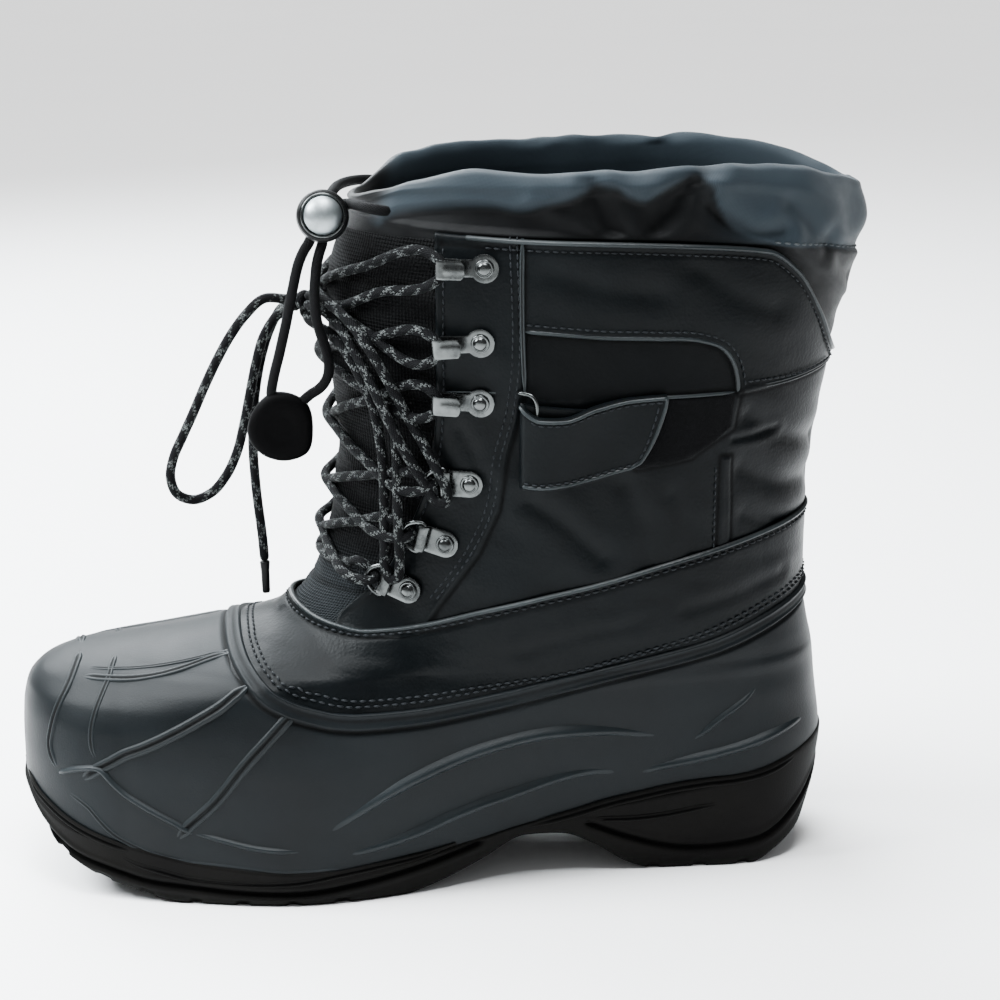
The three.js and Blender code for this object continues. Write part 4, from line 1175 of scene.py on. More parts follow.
@dataclass
class Outsole:
    """The rubber outsole: its side wall, the tread under it, and the bed inside the shell."""

    columns: int = 560
    wall_rows: int = 32
    tread_rows: int = 48
    bed_rows: int = 10
    proud: float = 1.5
    groove_wide: float = 5.0
    groove_deep: float = 4.5
    groove_turn: float = 0.26
    notch_deep: float = 3.2
    rim_wide: float = 3.2
    fore: tuple = (174, 192, 210, 228, 246, 263, 279)
    heel: tuple = (26, 43, 60)
    line: tuple = ((303.5, 37), (295, 24), (284, 16), (271, 12), (258, 8.5), (243, 7), (225, 5.5),
                   (196, 5.5), (184, 7), (164, 10), (150, 13), (136, 17))
    heel_line: tuple = ((4, 33), (12, 22), (24, 12), (40, 9), (60, 9), (78, 14), (94, 21))
    creases: tuple = (
        Welt(((119.8, 39.6, 21.4), (110.3, 38.9, 23.4), (99.1, 38.8, 26.1), (87.8, 38.7, 29.2),
              (74.5, 38.2, 31.7), (63.1, 37.9, 33.8), (49.8, 37.4, 35.3), (36.3, 36.7, 36.2),
              (26.4, 34.9, 37.9), (18.1, 31.7, 40.7), (11.4, 27.2, 43.9)),
             half=2.0, height=0.8, crack=1.0, fade=15, lift=1.5),
        Welt(((300.7, 10.5, 39.6), (297.4, 18, 35.3), (292.6, 24.9, 32), (286.5, 30.9, 28.3),
              (278.3, 36.5, 24.7), (270.3, 40.1, 22), (261.9, 43, 19.7)),
             half=1.7, height=0.7, crack=1.0, fade=8, lift=1.5),
        Welt(((271.1, 39.8, 19.5), (262.1, 42.9, 15.3), (253, 45.7, 13), (242.1, 48.3, 10.5),
              (229.4, 51, 9.5), (216, 53.4, 9.2), (202.2, 54.7, 9.9), (187.6, 54, 12.1),
              (172.8, 51.5, 13.8), (157.8, 47.9, 15.5), (144.6, 44.7, 18.3)),
             half=1.5, height=0.6, crack=1.0, fade=20, lift=1.5),
        Welt(((106, 37.8, 20.4), (98.9, 37.9, 22.1), (89.4, 37.6, 22.8),
              (78, 37.1, 22.4), (64.6, 36.7, 23.3), (51.3, 36.6, 25.5), (36, 36.2, 27.9)),
             half=1.5, height=0.6, crack=1.0, fade=20, lift=1.5),
    )

    def tread(self, points: Array) -> Array:
        """Depth of the grooves at places under the sole.

        The chevron grooves lean back from the middle; thin ones cross them lengthwise and zigzag
        between them.
        """
        x, y = points[..., 0], points[..., 1] - FORM_OF_BOOT.middle(points[..., 0], points[..., 2])
        outward = np.abs(y)
        depth = np.zeros(x.shape)
        for place in (*self.fore, *self.heel):
            off = np.abs((x - place) * math.cos(self.groove_turn)
                         - (outward - 3) * math.sin(self.groove_turn))
            depth = np.maximum(depth, self.groove_deep * smooth(self.groove_wide / 2 + 0.5 - off)
                               * smooth(outward, 3, 6))
        fine = np.abs(((x + 0.45 * outward + 4) % 9.0) - 4.5)
        sipe = 1.2 * smooth(0.9 - fine, 0, 0.5) * smooth(outward, 5, 8)
        rail = 2.2 * smooth(1.4 - np.abs(outward - 21 - 1.5 * np.sin(x / 9)), 0, 0.8)
        flat = smooth(x, 158, 164) + smooth(-x, -74, -70)
        return np.maximum(depth, np.maximum(sipe, rail) * np.clip(flat, 0, 1)) * smooth(x, 14, 22)

    def build(self) -> bpy.types.Object:
        """Make the outsole.

        Columns go round the boot. Rows start on the tread's middle line, reach its edge, climb the
        wall to the rim, turn in over it and cross the bed to its middle line, so the piece closes
        on itself once its middle points are joined.
        """
        turn = round_turns(self.columns)
        edge = FORM_OF_BOOT.meet(turn, SOLE_UNDER)
        rim = FORM_OF_BOOT.meet(turn, SOLE_RIM)
        share = np.linspace(0, 1, self.wall_rows)[:, None]
        z = edge + (rim - edge) * share
        wide = np.broadcast_to(turn, z.shape)
        base = FORM_OF_BOOT.point(wide, z)
        outward = unit(FORM_OF_BOOT.normal(wide, z) * [1, 1, 0])
        painted_shade = np.zeros(z.shape)
        lift = np.full(z.shape, self.proud)
        for route in (self.line, self.heel_line):
            for side in (1, -1):
                off = away(base, FORM_OF_BOOT.on_side(curve(route, 2.0), side))
                lift -= 1.1 * bump(off, 0.9)
                lift += 0.4 * bump(off - 2.2, 1.0)
                # painted shade in the side wall's moulded grooves
                painted_shade = np.maximum(painted_shade, bump(off, 1.3))
        lift -= 1.3 * (1 - smooth(rim - z, 0, 1.6)) + 1.0 * (1 - smooth(z - edge, 0, 1.4))
        depth = 0.5 * self.tread(base)
        notch = smooth(depth - (z - edge), -0.6, 0.6) * smooth(depth, 1.5, 3.5)
        wall = base + outward * (lift - self.notch_deep * notch)[..., None]
        # painted shade in the tread's notches on the wall
        painted_shade = np.maximum(painted_shade, notch)

        rows = 1 - (1 - np.linspace(0, 1, self.tread_rows)[1:-1, None]) ** 1.3
        middle = base[0].copy()
        middle[:, 1] = FORM_OF_BOOT.middle(middle[:, 0], middle[:, 2])
        under = middle + (wall[0] - middle) * rows[..., None]
        sunk = self.tread(under) * (1 - 0.5 * smooth(rows, 0.84, 1.0))
        under[..., 2] += sunk
        bed_height = np.minimum(rim - 2.5, FOOTBED.z(middle[:, 0]))
        inner = base[-1] - outward[-1] * self.rim_wide
        inner[:, 2] = bed_height
        bed_middle = middle.copy()
        bed_middle[:, 2] = bed_height
        inwards = np.linspace(0, 1, self.bed_rows)[:, None, None]
        bed = inner + (bed_middle - inner) * inwards
        lip = (base[-1] - outward[-1] * self.rim_wide / 2)[None]
        points = np.concatenate([middle[None], under, wall, lip, bed])
        # painted shade in the tread's grooves, darker the deeper they are
        shade = np.concatenate([np.zeros((1, len(turn))), np.clip(sunk / 3, 0, 1), painted_shade,
                                np.zeros((1 + self.bed_rows, len(turn)))])
        welted("sole_lines", Slot.SOLE, self.creases)
        return grid(points, True, painted_shade=shade).shown("lugged_outsole", Slot.SOLE, "outsole", merge=0.02)


# ---------------------------------------------------------------- sewing

# rings of a stitch, and points in each
SIX = 6


@dataclass(frozen=True)
class Thread:
    """A row of stitches on the boot's form.

    Fields are the step from stitch to stitch, a stitch's length and the thread's radius.
    """

    step: float = 3.3
    long: float = 2.5
    radius: float = 0.42

    def sew(self, path: Array, out: Array) -> Surface:
        """Lay stitches along a path.

        Each stitch is a bowed capsule: its radius and its height above the surface both follow a
        half circle from end to end.

        Args:
            path: Points of the path on the surface.
            out: Outward direction at each point.

        Returns:
            All the stitches as one surface.
        """
        length = lengths(path)
        at = np.arange(self.step / 2, length[-1] - self.step / 3, self.step)
        spot = read(at, length, path)
        ahead = unit(read(at + 0.6, length, path) - spot)
        up = read(at, length, out)
        up = unit(up - ahead * np.einsum("ij,ij->i", up, ahead)[:, None])
        across = np.cross(ahead, up)
        run = np.linspace(-1, 1, SIX)
        thick = self.radius * np.sqrt(np.clip(1.03 - run**2, 0.02, 1))
        high = self.radius * (0.9 * (1 - run**2) - 0.35)
        angle = np.linspace(0, 2 * math.pi, SIX, endpoint=False)
        forward = run[None, :, None, None] * self.long / 2 * ahead[:, None, None]
        rise = (high[:, None] + thick[:, None] * np.sin(angle))[None, ..., None] * up[:, None, None]
        sway = (thick[:, None] * np.cos(angle))[None, ..., None] * across[:, None, None]
        points = (spot[:, None, None] + forward + rise + sway).reshape(len(spot), -1, 3)
        ring = np.arange(SIX)
        caps = np.stack([ring[::-1], ring + SIX * (SIX - 1)])
        shift = np.arange(len(spot))[:, None, None] * SIX * SIX
        sides = (grid_faces(SIX, SIX, True) + shift).reshape(-1, 4)
        return Surface(points.reshape(-1, 3), [sides, (caps + shift).reshape(-1, SIX)]).turned()

    def on_side(self, points: Sequence, side: int, lift: float) -> Surface:
        """Sew along a side-view line on one face."""
        flat = curve(points, 1.0)
        return self.round_boot(side * FORM_OF_BOOT.turn_at(flat[:, 0], flat[:, 1]), flat[:, 1], lift)

    def round_boot(self, turn: Array, z: Array, lift: float) -> Surface:
        """Sew along heights given for turns."""
        return self.sew(*FORM_OF_BOOT.skin(turn, z, lift))


FINE = Thread(2.9, 2.2, 0.34)


# ---------------------------------------------------------------- leather upper


@dataclass(frozen=True)
class Panel:
    """A raised layer of leather with a closed side-view outline.

    Fields are the outline, its height above what it is sewn on, which faces it is on, and the width
    of its cut edge.
    """

    outline: tuple
    height: float
    sides: tuple = (1, -1)
    edge: float = 0.9

    def rise(self, points: Array, side: Array) -> tuple:
        """Height added by the panel, and the painted shade along the foot of its edge.

        Args:
            points: Places on the form.
            side: 1 or -1 for the face each is on.

        Returns:
            Height and painted shade of each place.
        """
        flat = points[..., [0, 2]]
        loop = np.array(self.outline, float)
        off = away(flat, np.concatenate([loop, loop[:1]]))
        signed = np.where(inside(flat, loop), off, -off)
        on = np.isin(side, self.sides)
        step = smooth(signed, -self.edge / 2, self.edge / 2)
        piping = 0.3 * bump(signed - 0.9, 0.7)
        # painted shade along the foot of the panel's edge
        foot = bump(signed + 0.9, 0.8)
        return np.where(on, self.height * step + piping * self.height, 0), np.where(on, foot, 0)


@dataclass
class LeatherUpper:
    """The coated-leather rand round the vamp, the shaft's quarters and all their sewing."""

    rand_rows: int = 64
    columns: int = 420
    shaft_rows: int = 156
    shaft_columns: int = 470
    rand_lift: float = 0.25
    turned_in: float = 2.2
    facing_seam: tuple = ((121, 262), (121, 190), (122.5, 180), (126, 167), (129, 147), (136, 131),
                          (150, 111), (158, 98))
    facing_row: tuple = ((147.5, 240.6), (147.7, 204.6), (147.7, 185.6), (149.8, 161.6), (157, 139.1),
                         (165, 123.1), (174, 112.1))
    window: tuple = ((120, 212), (106, 210.6), (93, 209.3), (75, 208.4), (58, 207), (50, 204),
                     (45.5, 198.5), (43.5, 192), (43, 186.5))

    def panels(self) -> list:
        """The raised layers, from the facing back to the heel."""
        facing = (*self.facing_seam, (230, 98), (230, 262))
        top = ((121, 275), (121, 212), *self.window[1:], (20, 188), (0, 190.5), (-20, 191), (-20, 275))
        keeper = ((48, 163), (45, 163), (43.6, 122), (44.5, 100), (48.5, 100), (48, 122))
        return [
            Panel(facing, 0.7),
            Panel(top, 0.75),
            Panel(keeper, 0.5, (1,)),
            Panel(((76, 187), (42.5, 187), (44.5, 174), (60, 164), (80, 161)), 0.35, (1,)),
        ]

    def rand(self) -> bpy.types.Object:
        """The band between the shell and the shaft: meridians from under the flange to its edge."""
        turn = round_turns(self.columns)
        low = FORM_OF_BOOT.meet(turn, SHELL_SEAM) - 1.5
        high = FORM_OF_BOOT.meet(turn, RAND_TOP)
        z = FORM_OF_BOOT.spread(turn, low, high, self.rand_rows)
        wide = np.broadcast_to(turn, z.shape)
        points = FORM_OF_BOOT.point(wide, z)
        top = np.concatenate([points[-1, ::4], points[-1, :1]])
        down = away(points, top)
        # painted shade in the groove under the rand's top edge
        painted_shade = 0.7 * bump(down - 3.1, 0.7)
        lift = self.rand_lift + 0.85 * smooth(down, 0, 0.9) + 0.3 * bump(down - 1.0, 0.8) - 0.55
        lift -= 0.35 * bump(down - 3.1, 0.9)
        lift += 0.22 * swell(points, 34, 0.6) + 0.10 * swell(points, 13, 1.7)
        for crease in self.vamp_creases():
            off = away(points, crease)
            lift -= 0.35 * bump(off, 2.6)
            lift += 0.2 * bump(off - 5, 3.0)
        return grid(points + FORM_OF_BOOT.normal(wide, z) * lift[..., None], True,
                    painted_shade=np.clip(painted_shade, 0, 1)).shown("leather_rand", Slot.LEATHER)

    def vamp_creases(self) -> list:
        """Soft creases across the vamp and low on the shaft, placed one by one."""
        routes = (
            ((212, 84), (205, 80), (196, 79)),
            ((120, 94), (98, 99), (78, 102)),
            ((60, 106), (40, 110), (22, 114)),
        )
        return [FORM_OF_BOOT.on_side(curve(route, 3.0), side) for route in routes for side in (1, -1)]

    def shaft_creases(self) -> list:
        """Shallow folds of the shaft, as side-view lines with a depth and a width."""
        return [
            (((118, 150), (104, 140), (92, 128)), 0.7, 3.2),
            (((84, 155), (78, 140), (75, 124)), 0.6, 3.4),
            (((66, 150), (60, 138), (58, 128)), 0.45, 3.0),
            (((38, 178), (24, 168), (8, 163)), 0.9, 3.4),
            (((40, 158), (24, 150), (8, 147)), 0.8, 3.4),
            (((38, 140), (24, 134), (9, 131)), 0.7, 3.0),
            (((110, 232), (92, 226), (74, 224)), 0.45, 4.0),
            (((60, 232), (44, 222), (30, 216)), 0.5, 4.0),
            (((142, 176), (137, 166), (134, 158)), 0.35, 2.4),
            (((44, 169.5), (36, 170), (26, 171)), 0.5, 1.2),
        ]

    def shaft(self) -> bpy.types.Object:
        """The quarters: from one facing edge, round the back, to the other.

        The share across goes from 1 at the inner facing's edge, through 0 at the back, to 1 at the
        outer one; heights run from under the rand to the top edge, and both are settled together
        by repeating.
        """
        share = np.linspace(-1, 1, self.shaft_columns)
        side = np.where(share < 0, -1, 1)
        reach = np.abs(share)[None]
        up = np.linspace(0, 1, self.shaft_rows)[:, None]
        z = 100 + 140 * up * np.ones_like(reach)
        for _ in range(12):
            start = FORM_OF_BOOT.turn_at(FACING_EDGE.x(z), z)
            turn = math.pi - (math.pi - start) * reach**0.96
            x_low = FORM_OF_BOOT.x_at(turn[:1], z[:1])
            x_high = FORM_OF_BOOT.x_at(turn[-1:], z[-1:])
            low, high = RAND_TOP.z(x_low) - 3.5, SHAFT_TOP.z(x_high)
            z = 0.5 * z + 0.5 * (low + (high - low) * up)
        turn = turn * side
        points = FORM_OF_BOOT.point(turn, z)
        normal = FORM_OF_BOOT.normal(turn, z)
        face = np.broadcast_to(side, z.shape)
        lift = np.full(z.shape, -0.45)
        painted_shade = np.zeros(z.shape)
        for panel in self.panels():
            rise, foot = panel.rise(points, face)
            lift += rise
            # painted shade along the feet of the panels' edges
            painted_shade += 0.9 * foot
        # painted shade in the window's recess, on the outer face
        recess = np.array(((120, 212), *self.window[1:], (77, 187), (120, 187)), float)
        painted_shade += 0.5 * inside(points[..., [0, 2]], recess) * (face > 0)
        for route, depth, width in self.shaft_creases():
            for one in (1, -1):
                off = away(points, FORM_OF_BOOT.on_side(curve(route, 4.0), one))
                lift += depth * (0.5 * bump(off - 2.4 * width, 1.4 * width) - bump(off, width))
        lift += 0.55 * swell(points, 62, 0.3) + 0.16 * swell(points, 24, 1.2)
        edge = np.minimum(*(away(points, np.concatenate([points[::3, k], points[-1:, k]])) for k in (-1, 0)))
        lift += 0.35 * bump(edge - 1.0, 0.8) - 0.8 * (1 - smooth(edge, 0, 0.8))
        top = np.linalg.norm(points - points[-1:], axis=-1)
        lift += 0.3 * bump(top - 1.2, 0.9) - 0.7 * (1 - smooth(top, 0, 0.9)) - 0.25 * bump(top - 3.6, 0.8)
        # painted shade in a groove under the top edge and along a line in from the side edges
        painted_shade += 0.6 * bump(top - 3.6, 0.8) + 0.5 * bump(edge - 3.0, 0.7)
        border = ((0, 1), (1, 1))
        turned = np.pad(np.zeros(z.shape), border, constant_values=self.turned_in)
        lift, painted_shade = (np.pad(part, border, "edge") for part in (lift, painted_shade))
        lift -= turned
        points, normal = (np.pad(part, (*border, (0, 0)), "edge") for part in (points, normal))
        return grid(points + normal * lift[..., None], painted_shade=np.clip(painted_shade, 0, 1)).shown(
            "leather_shaft", Slot.LEATHER, "upper")

    def sewing(self) -> bpy.types.Object:
        """All the stitch rows of the upper and the rand."""
        bold = Thread()
        turn = np.linspace(-math.pi, math.pi, 900)
        seam = FORM_OF_BOOT.meet(turn, SHELL_SEAM)
        rand = FORM_OF_BOOT.meet(turn, RAND_TOP)
        rows = []
        for distance in (2.4, 4.6):
            rows.append(bold.round_boot(turn, self.stepped(turn, seam, distance), self.rand_lift + 0.5))
        rows.append(bold.round_boot(turn, self.stepped(turn, rand, -3.1), self.rand_lift + 0.35))
        seam_row = np.array(self.facing_seam[:-1], float)
        seam_row[0, 1] = 244.5
        for side in (1, -1):
            for shift in (1.8, 4.2):
                rows.append(FINE.on_side(seam_row + [shift, 0.8], side, 0.45))
            shaft_turn = side * np.linspace(math.pi, 1.05, 260)
            top = FORM_OF_BOOT.meet(shaft_turn, SHAFT_TOP)
            rows.append(FINE.round_boot(shaft_turn, top - 3.6, 0.35))
            rows.append(FINE.on_side(self.facing_row, side, 0.45))
            window = np.array(self.window, float)
            above = np.stack([window[:, 0] - [0, 0, 0, 0, 0.8, 1.6, 2.2, 2.4, 2.4],
                              window[:, 1] + [2.4, 2.4, 2.4, 2.4, 2.3, 1.8, 1.0, 0.4, 2.4]], -1)
            rows.append(FINE.on_side(above, side, 0.5))
            rows.append(FINE.on_side(((40, 190.6), (20, 190.8), (4, 193)), side, 0.5))
        rows.append(FINE.on_side(((50.4, 160), (50.2, 140), (50, 125)), 1, -0.2))
        return joined(*rows).shown("upper_stitches", Slot.LACE, finish=SEWING_THREAD)

    @staticmethod
    def stepped(turn: Array, z: Array, distance: float) -> Array:
        """Heights a distance further up or down the surface than z, measured along it."""
        rise = FORM_OF_BOOT.point(turn, z + 0.3) - FORM_OF_BOOT.point(turn, z - 0.3)
        return z + distance * 0.6 / np.linalg.norm(rise, axis=-1)

    def edges(self) -> bpy.types.Object:
        """The folded edges that catch the light, in a lighter leather that is a painted highlight: rand,
        window, top of the shaft and seams.
        """
        turn = np.linspace(-math.pi, math.pi, 500)
        rand = self.stepped(turn, FORM_OF_BOOT.meet(turn, RAND_TOP), -0.7)
        lip = Welt((), 0.95, 0.75, foot=0.9, fade=0.1)
        parts = [lip.laid(*FORM_OF_BOOT.skin(turn, rand, 0.75))]
        for side in (1, -1):
            shaft_turn = side * np.linspace(math.pi, 0.98, 300)
            top = self.stepped(shaft_turn, FORM_OF_BOOT.meet(shaft_turn, SHAFT_TOP), -0.8)
            parts.append(lip.laid(*FORM_OF_BOOT.skin(shaft_turn, top, 0.55)))
        seams = (
            Welt(self.window, 0.9, 0.7, foot=1.0, fade=2, lift=0.2),
            Welt(((43, 187.5), (36, 188), (24, 188.8), (10, 190.5),
                  (0, 192)), 1.0, 0.5, crack=1.0, lift=0.2),
            Welt(((120, 190), (121, 212), (121.2, 236), (121, 244.4)), 0.9, 0.45, crack=1.0, lift=0.7),
            Welt(((77, 187), (60, 187), (43.5, 187)), 0.7, 0.4, foot=0.8, lift=0.2),
            Welt(((130, 190), (140, 189.6), (148, 189.4)), 0.7, 0.35, crack=0.9, lift=0.8, sides=(1,)),
        )
        parts += [part for seam in seams for part in seam.surfaces()]
        return joined(*parts).shown("upper_edges", Slot.LEATHER, finish=EDGE_HIGHLIGHT_LEATHER)

    def loop_tape(self) -> bpy.types.Object:
        """The dark fleecy patch that the strap's free end fastens to."""
        rows, columns = 24, 36
        share, rise = np.linspace(0, 1, columns), np.linspace(0, 1, rows)[:, None]
        head, foot = (read(share, np.linspace(0, 1, len(line)), line) for line in (
            curve(((82, 186.4), (62, 186.5), (43.6, 186.4)), 1.0),
            curve(((82, 161), (75, 161.6), (61, 164), (52, 169), (45, 174.5)), 0.5)))
        flat = foot + (head - foot) * rise[..., None]
        from_edge = np.minimum(np.minimum(rise, 1 - rise) * 24, (1 - share) * 38)
        points = FORM_OF_BOOT.lifted(FORM_OF_BOOT.turn_at(flat[..., 0], flat[..., 1]), flat[..., 1],
                                     0.9 * smooth(from_edge, -0.5, 1.6))
        return grid(points[:, ::-1]).shown("loop_tape", Slot.NYLON, finish=LOOP_TAPE)

    def build(self) -> None:
        """Make the upper's pieces."""
        self.shaft()
        self.rand()
        self.sewing()
        self.edges()
        self.loop_tape()


# ---------------------------------------------------------------- cloth parts


@dataclass(frozen=True)
class Fold:
    """A soft fold in cloth: a furrow with a swell along one side of it.

    Fields are its side-view line, its depth, its width and the faces it is on.
    """

    points: tuple
    depth: float
    width: float
    sides: tuple = (1, -1)

    def shape(self, points: Array) -> Array:
        """Height of the fold at each place, below zero in its furrow."""
        total = np.zeros(points.shape[:-1])
        for side in self.sides:
            off = away(points, FORM_OF_BOOT.on_side(curve(self.points, 2.5), side))
            beside = bump(off - 2.1 * self.width, 1.2 * self.width)
            total += self.depth * (0.45 * beside - bump(off, self.width))
        return total


@dataclass
class NylonCollar:
    """The nylon collar: out of the shaft, up over its drawcord channel and down inside.

    Fields are its columns and rows, how deep its gathers are, its folds, a ridge between two of
    them, the line under its roll, the hem behind the quarters, and the cloth's share taken up by
    the gathers, which is not used.
    """

    columns: int = 400
    rows: int = 132
    gather: float = 0.09
    fullness: float = 1.08
    folds: tuple = (
        Fold(((97.1, 262.4), (94.5, 257), (91.8, 251), (88.4, 245)), 1.9, 3.4),
        Fold(((58.2, 265.6), (63, 261.5), (68, 256.6), (71.6, 251.4), (73.6, 248.2)), 2.4, 4.2),
        Fold(((55.3, 254.6), (47, 248.5), (37.7, 243.5), (28, 243.8)), 1.8, 3.0),
        Fold(((26, 252), (18, 246), (10, 236)), 1.2, 3.4),
        Fold(((8, 240), (2, 230), (-4, 222)), 1.0, 3.2),
    )
    ridge: tuple = ((118, 256.5), (106.6, 251.4), (98.1, 246.6))
    hem: Line = Line(((-8, 232), (-2.7, 233.6), (4, 235.5), (13.2, 237.6), (21.6, 238.8), (29.6, 239.9),
                      (37.3, 240.5), (190, 240.5)))
    roll: Line = Line(((-6, 214), (9, 228), (22, 236), (28, 239), (37.7, 243), (47, 248.5),
                       (52, 255), (55, 262), (61, 266), (66.4, 263.9), (72.8, 261), (78.8, 258.2),
                       (84, 259.6), (89.1, 262.6), (94.3, 263), (99.5, 261.2), (106.5, 258.6),
                       (113.3, 257.3), (121.7, 255.6), (131.7, 257), (141.7, 256.6), (151.6, 255.3),
                       (161.6, 253.2), (166.6, 251), (171, 247.4), (190, 246)))

    def sewing(self, points: Array, normal: Array, over_hem: Array,
               turn: Array) -> bpy.types.Object:
        """Sew the collar's rear hem, a row of stitches where the cloth crosses the hem's height.

        Args:
            points: The collar's grid of points.
            normal: Outward direction at each point.
            over_hem: How far each point lies under the hem's height, falling from row to row.
            turn: Turn of each column.

        Returns:
            The stitches.
        """
        column = np.arange(self.columns)
        row = np.maximum(1, np.argmax(over_hem < 0, axis=0))
        low, high = over_hem[row - 1, column], over_hem[row, column]
        share = (low / (low - high))[:, None]
        place = points[row - 1, column] * (1 - share) + points[row, column] * share
        out = normal[row, column]
        rows = []
        for side in (1, -1):
            chosen = column[(side * turn > 0) & (place[:, 0] < 34)]
            chosen = chosen[np.argsort(-np.abs(turn[chosen]))]
            rows.append(Thread(3.6, 2.4, 0.38).sew(place[chosen] + 0.1 * out[chosen], out[chosen]))
        return joined(*rows).shown("collar_stitches", Slot.LACE, finish=HEM_THREAD_HIGHLIGHT)

    def build(self) -> bpy.types.Object:
        """Make the collar.

        Rows go up the outside, over the top and down the inside; each column's heights hang from
        the shaft's edge and the collar's edge at its turn. Folds and gathers are added outwards.
        """
        turn = round_turns(self.columns)
        shaft = FORM_OF_BOOT.meet(turn, SHAFT_TOP)
        top = FORM_OF_BOOT.meet(turn, COLLAR_TOP)
        rise = top - shaft
        belly = np.clip(rise / 20, 0.4, 1.3)
        knots = np.array([0, 0.12, 0.17, 0.36, 0.50, 0.58, 0.66, 0.71, 0.76, 0.84, 1.0])
        heights = (shaft - 7, shaft - 0.5, shaft + 1.2, shaft + 0.35 * rise, shaft + 0.62 * rise,
                   top - 0.2 * rise - 1, top - 2.0, top - 0.1, top - 1.9, top - 10, top - 26)
        lifts = (-2.3, -2.2, -1.6, -1.0 * belly, 0.3 * belly, 1.6 * belly, 1.1, -1.3, -3.4, -5.2, -5.4)
        t = np.broadcast_to(np.linspace(0, 1, self.rows)[:, None], (self.rows, self.columns))
        shape = (*t.shape, len(knots))
        z, lift = (follow(knots, np.broadcast_to(np.stack(np.broadcast_arrays(*table), -1), shape), t)
                   for table in (heights, lifts))
        wide = np.broadcast_to(turn, z.shape)
        highest = float(FORM[-1, 0]) - 0.5
        points = FORM_OF_BOOT.point(wide, np.clip(z, 0, highest))
        normal = FORM_OF_BOOT.normal(wide, np.clip(z, 0, highest - 1.5))
        free = smooth(t, 0.15, 0.26) * smooth(-t, -0.78, -0.70)
        ruffle = smooth(t, 0.44, 0.62) * smooth(-t, -0.9, -0.74)
        ring = points[self.rows // 2]
        around = lengths(np.concatenate([ring, ring[:1]]))[1:]
        gathers = np.sin(around / 3.1 + 1.6 * np.sin(around / 17)) * (0.6 + 0.4 * np.sin(around / 29 + 1))
        folds = sum(fold.shape(points) for fold in self.folds)
        folds += 1.3 * sum(bump(away(points, FORM_OF_BOOT.on_side(curve(self.ridge, 2.5), side)), 3.4)
                           for side in (1, -1))
        outside = smooth(-t, -0.71, -0.64)
        x = points[..., 0]
        # below: under the roll's line the cloth tucks in and gets painted shadow
        below = smooth(self.roll.z(x) - z, 0.0, 4.0) * outside * (0.3 + 0.7 * smooth(x, 20, 70))
        lift = lift + free * outside * 1.9 * np.clip(rise / 20, 0.3, 1.0) * (0.7 - 1.5 * below)
        # front: the cloth tucks in at the front opening, which gets painted shade
        front = smooth(x + 0.72 * (z - 247.4), 167.0, 176.0)
        lift = lift - 1.4 * free * front * outside
        over_hem = self.hem.z(x) - z
        hem = smooth(over_hem, 0.0, 2.2) * outside
        rear = smooth(-x, -24.0, 2.0)
        lift = lift - free * outside * rear * (2.4 - 2.0 * hem)
        lift = lift + free * (folds + 0.8 * swell(points, 44, 0.9) + 0.25 * swell(points, 17, 2.0))
        lift = lift + ruffle * self.gather * gathers
        z_wave = smooth(t, 0.55, 0.66) * smooth(-t, -0.85, -0.74)
        high = 1.3 * swell(points, 52, 1.4) + 0.35 * swell(points, 21, 0.3) + 0.1 * gathers
        back_pinch = np.exp(-((np.abs(wide) - math.pi + 0.22) / 0.13) ** 2)
        points = points + normal * (lift + 2.2 * back_pinch * ruffle)[..., None]
        points[..., 2] += z - np.clip(z, 0, highest) + z_wave * (high - 2.0 * back_pinch)
        cloth = np.stack(np.broadcast_arrays(around, lengths(points)), axis=-1)
        # painted shade: dark in the folds' furrows, painted shadow under the roll, near black at the front
        # opening, and darker below the rear hem
        painted_shade = np.clip(-0.22 * folds, 0, 0.7) * free + below + 0.95 * front + hem
        surface = grid(points, True, cloth=cloth, painted_shade=np.clip(painted_shade, 0, 1))
        surface.period = float(around[-1])
        piece = surface.shown("nylon_collar", Slot.NYLON, "gaiter")
        sewn = self.sewing(points, normal, over_hem, turn)
        area = float(np.sum(np.linalg.norm(np.cross(
            points[:-1] - points[1:], points[:-1] - np.roll(points[:-1], -1, axis=1)), axis=-1))) * MM * MM
        return piece


@dataclass
class CanvasTongue:
    """The padded canvas tongue behind the lacing."""

    columns: int = 112
    rows: int = 144
    lift: float = -1.3
    thick: float = 3.4
    seams: tuple = (226, 112)
    edge: Line = Line(((131, 244), (130, 165), (136, 138), (148, 119), (164, 104), (184, 93),
                       (205, 86)))

    def build(self) -> bpy.types.Object:
        """Make the tongue: across from edge to edge, and up each meridian from the vamp.

        It is puffed between the laces and thins to a bound edge at its sides.
        """
        share = np.linspace(-1, 1, self.columns)
        z = np.linspace(89, 243, self.rows)[:, None]
        turn = share * FORM_OF_BOOT.turn_at(np.minimum(self.edge.x(z), FORM_OF_BOOT.column(2, z) - 2), z)
        points = FORM_OF_BOOT.point(turn, z)
        puff = 0.45 * swell(points, 26, 0.4) + 0.25 * swell(points, 11, 1.0)
        border = 1 - smooth(1 - np.abs(share), 0, 0.08)[None]
        seam = sum(bump(z - height, 1.2) for height in self.seams)
        points = FORM_OF_BOOT.lifted(turn, z, self.lift + puff - 1.6 * border - 0.5 * seam)
        across = lengths(points.swapaxes(0, 1)).T
        across -= across[:, self.columns // 2][:, None]
        # painted shade: the tongue's seams, and its upper part between the laces, are darkened
        painted_shade = np.broadcast_to(np.clip(0.5 * seam + 0.82 * smooth(z, 108, 132), 0, 1), turn.shape)
        piece = grid(points, cloth=np.stack([across, lengths(points)], -1), painted_shade=painted_shade)
        piece = piece.shown("canvas_tongue", Slot.CANVAS, "tongue", wall=self.thick)
        return piece


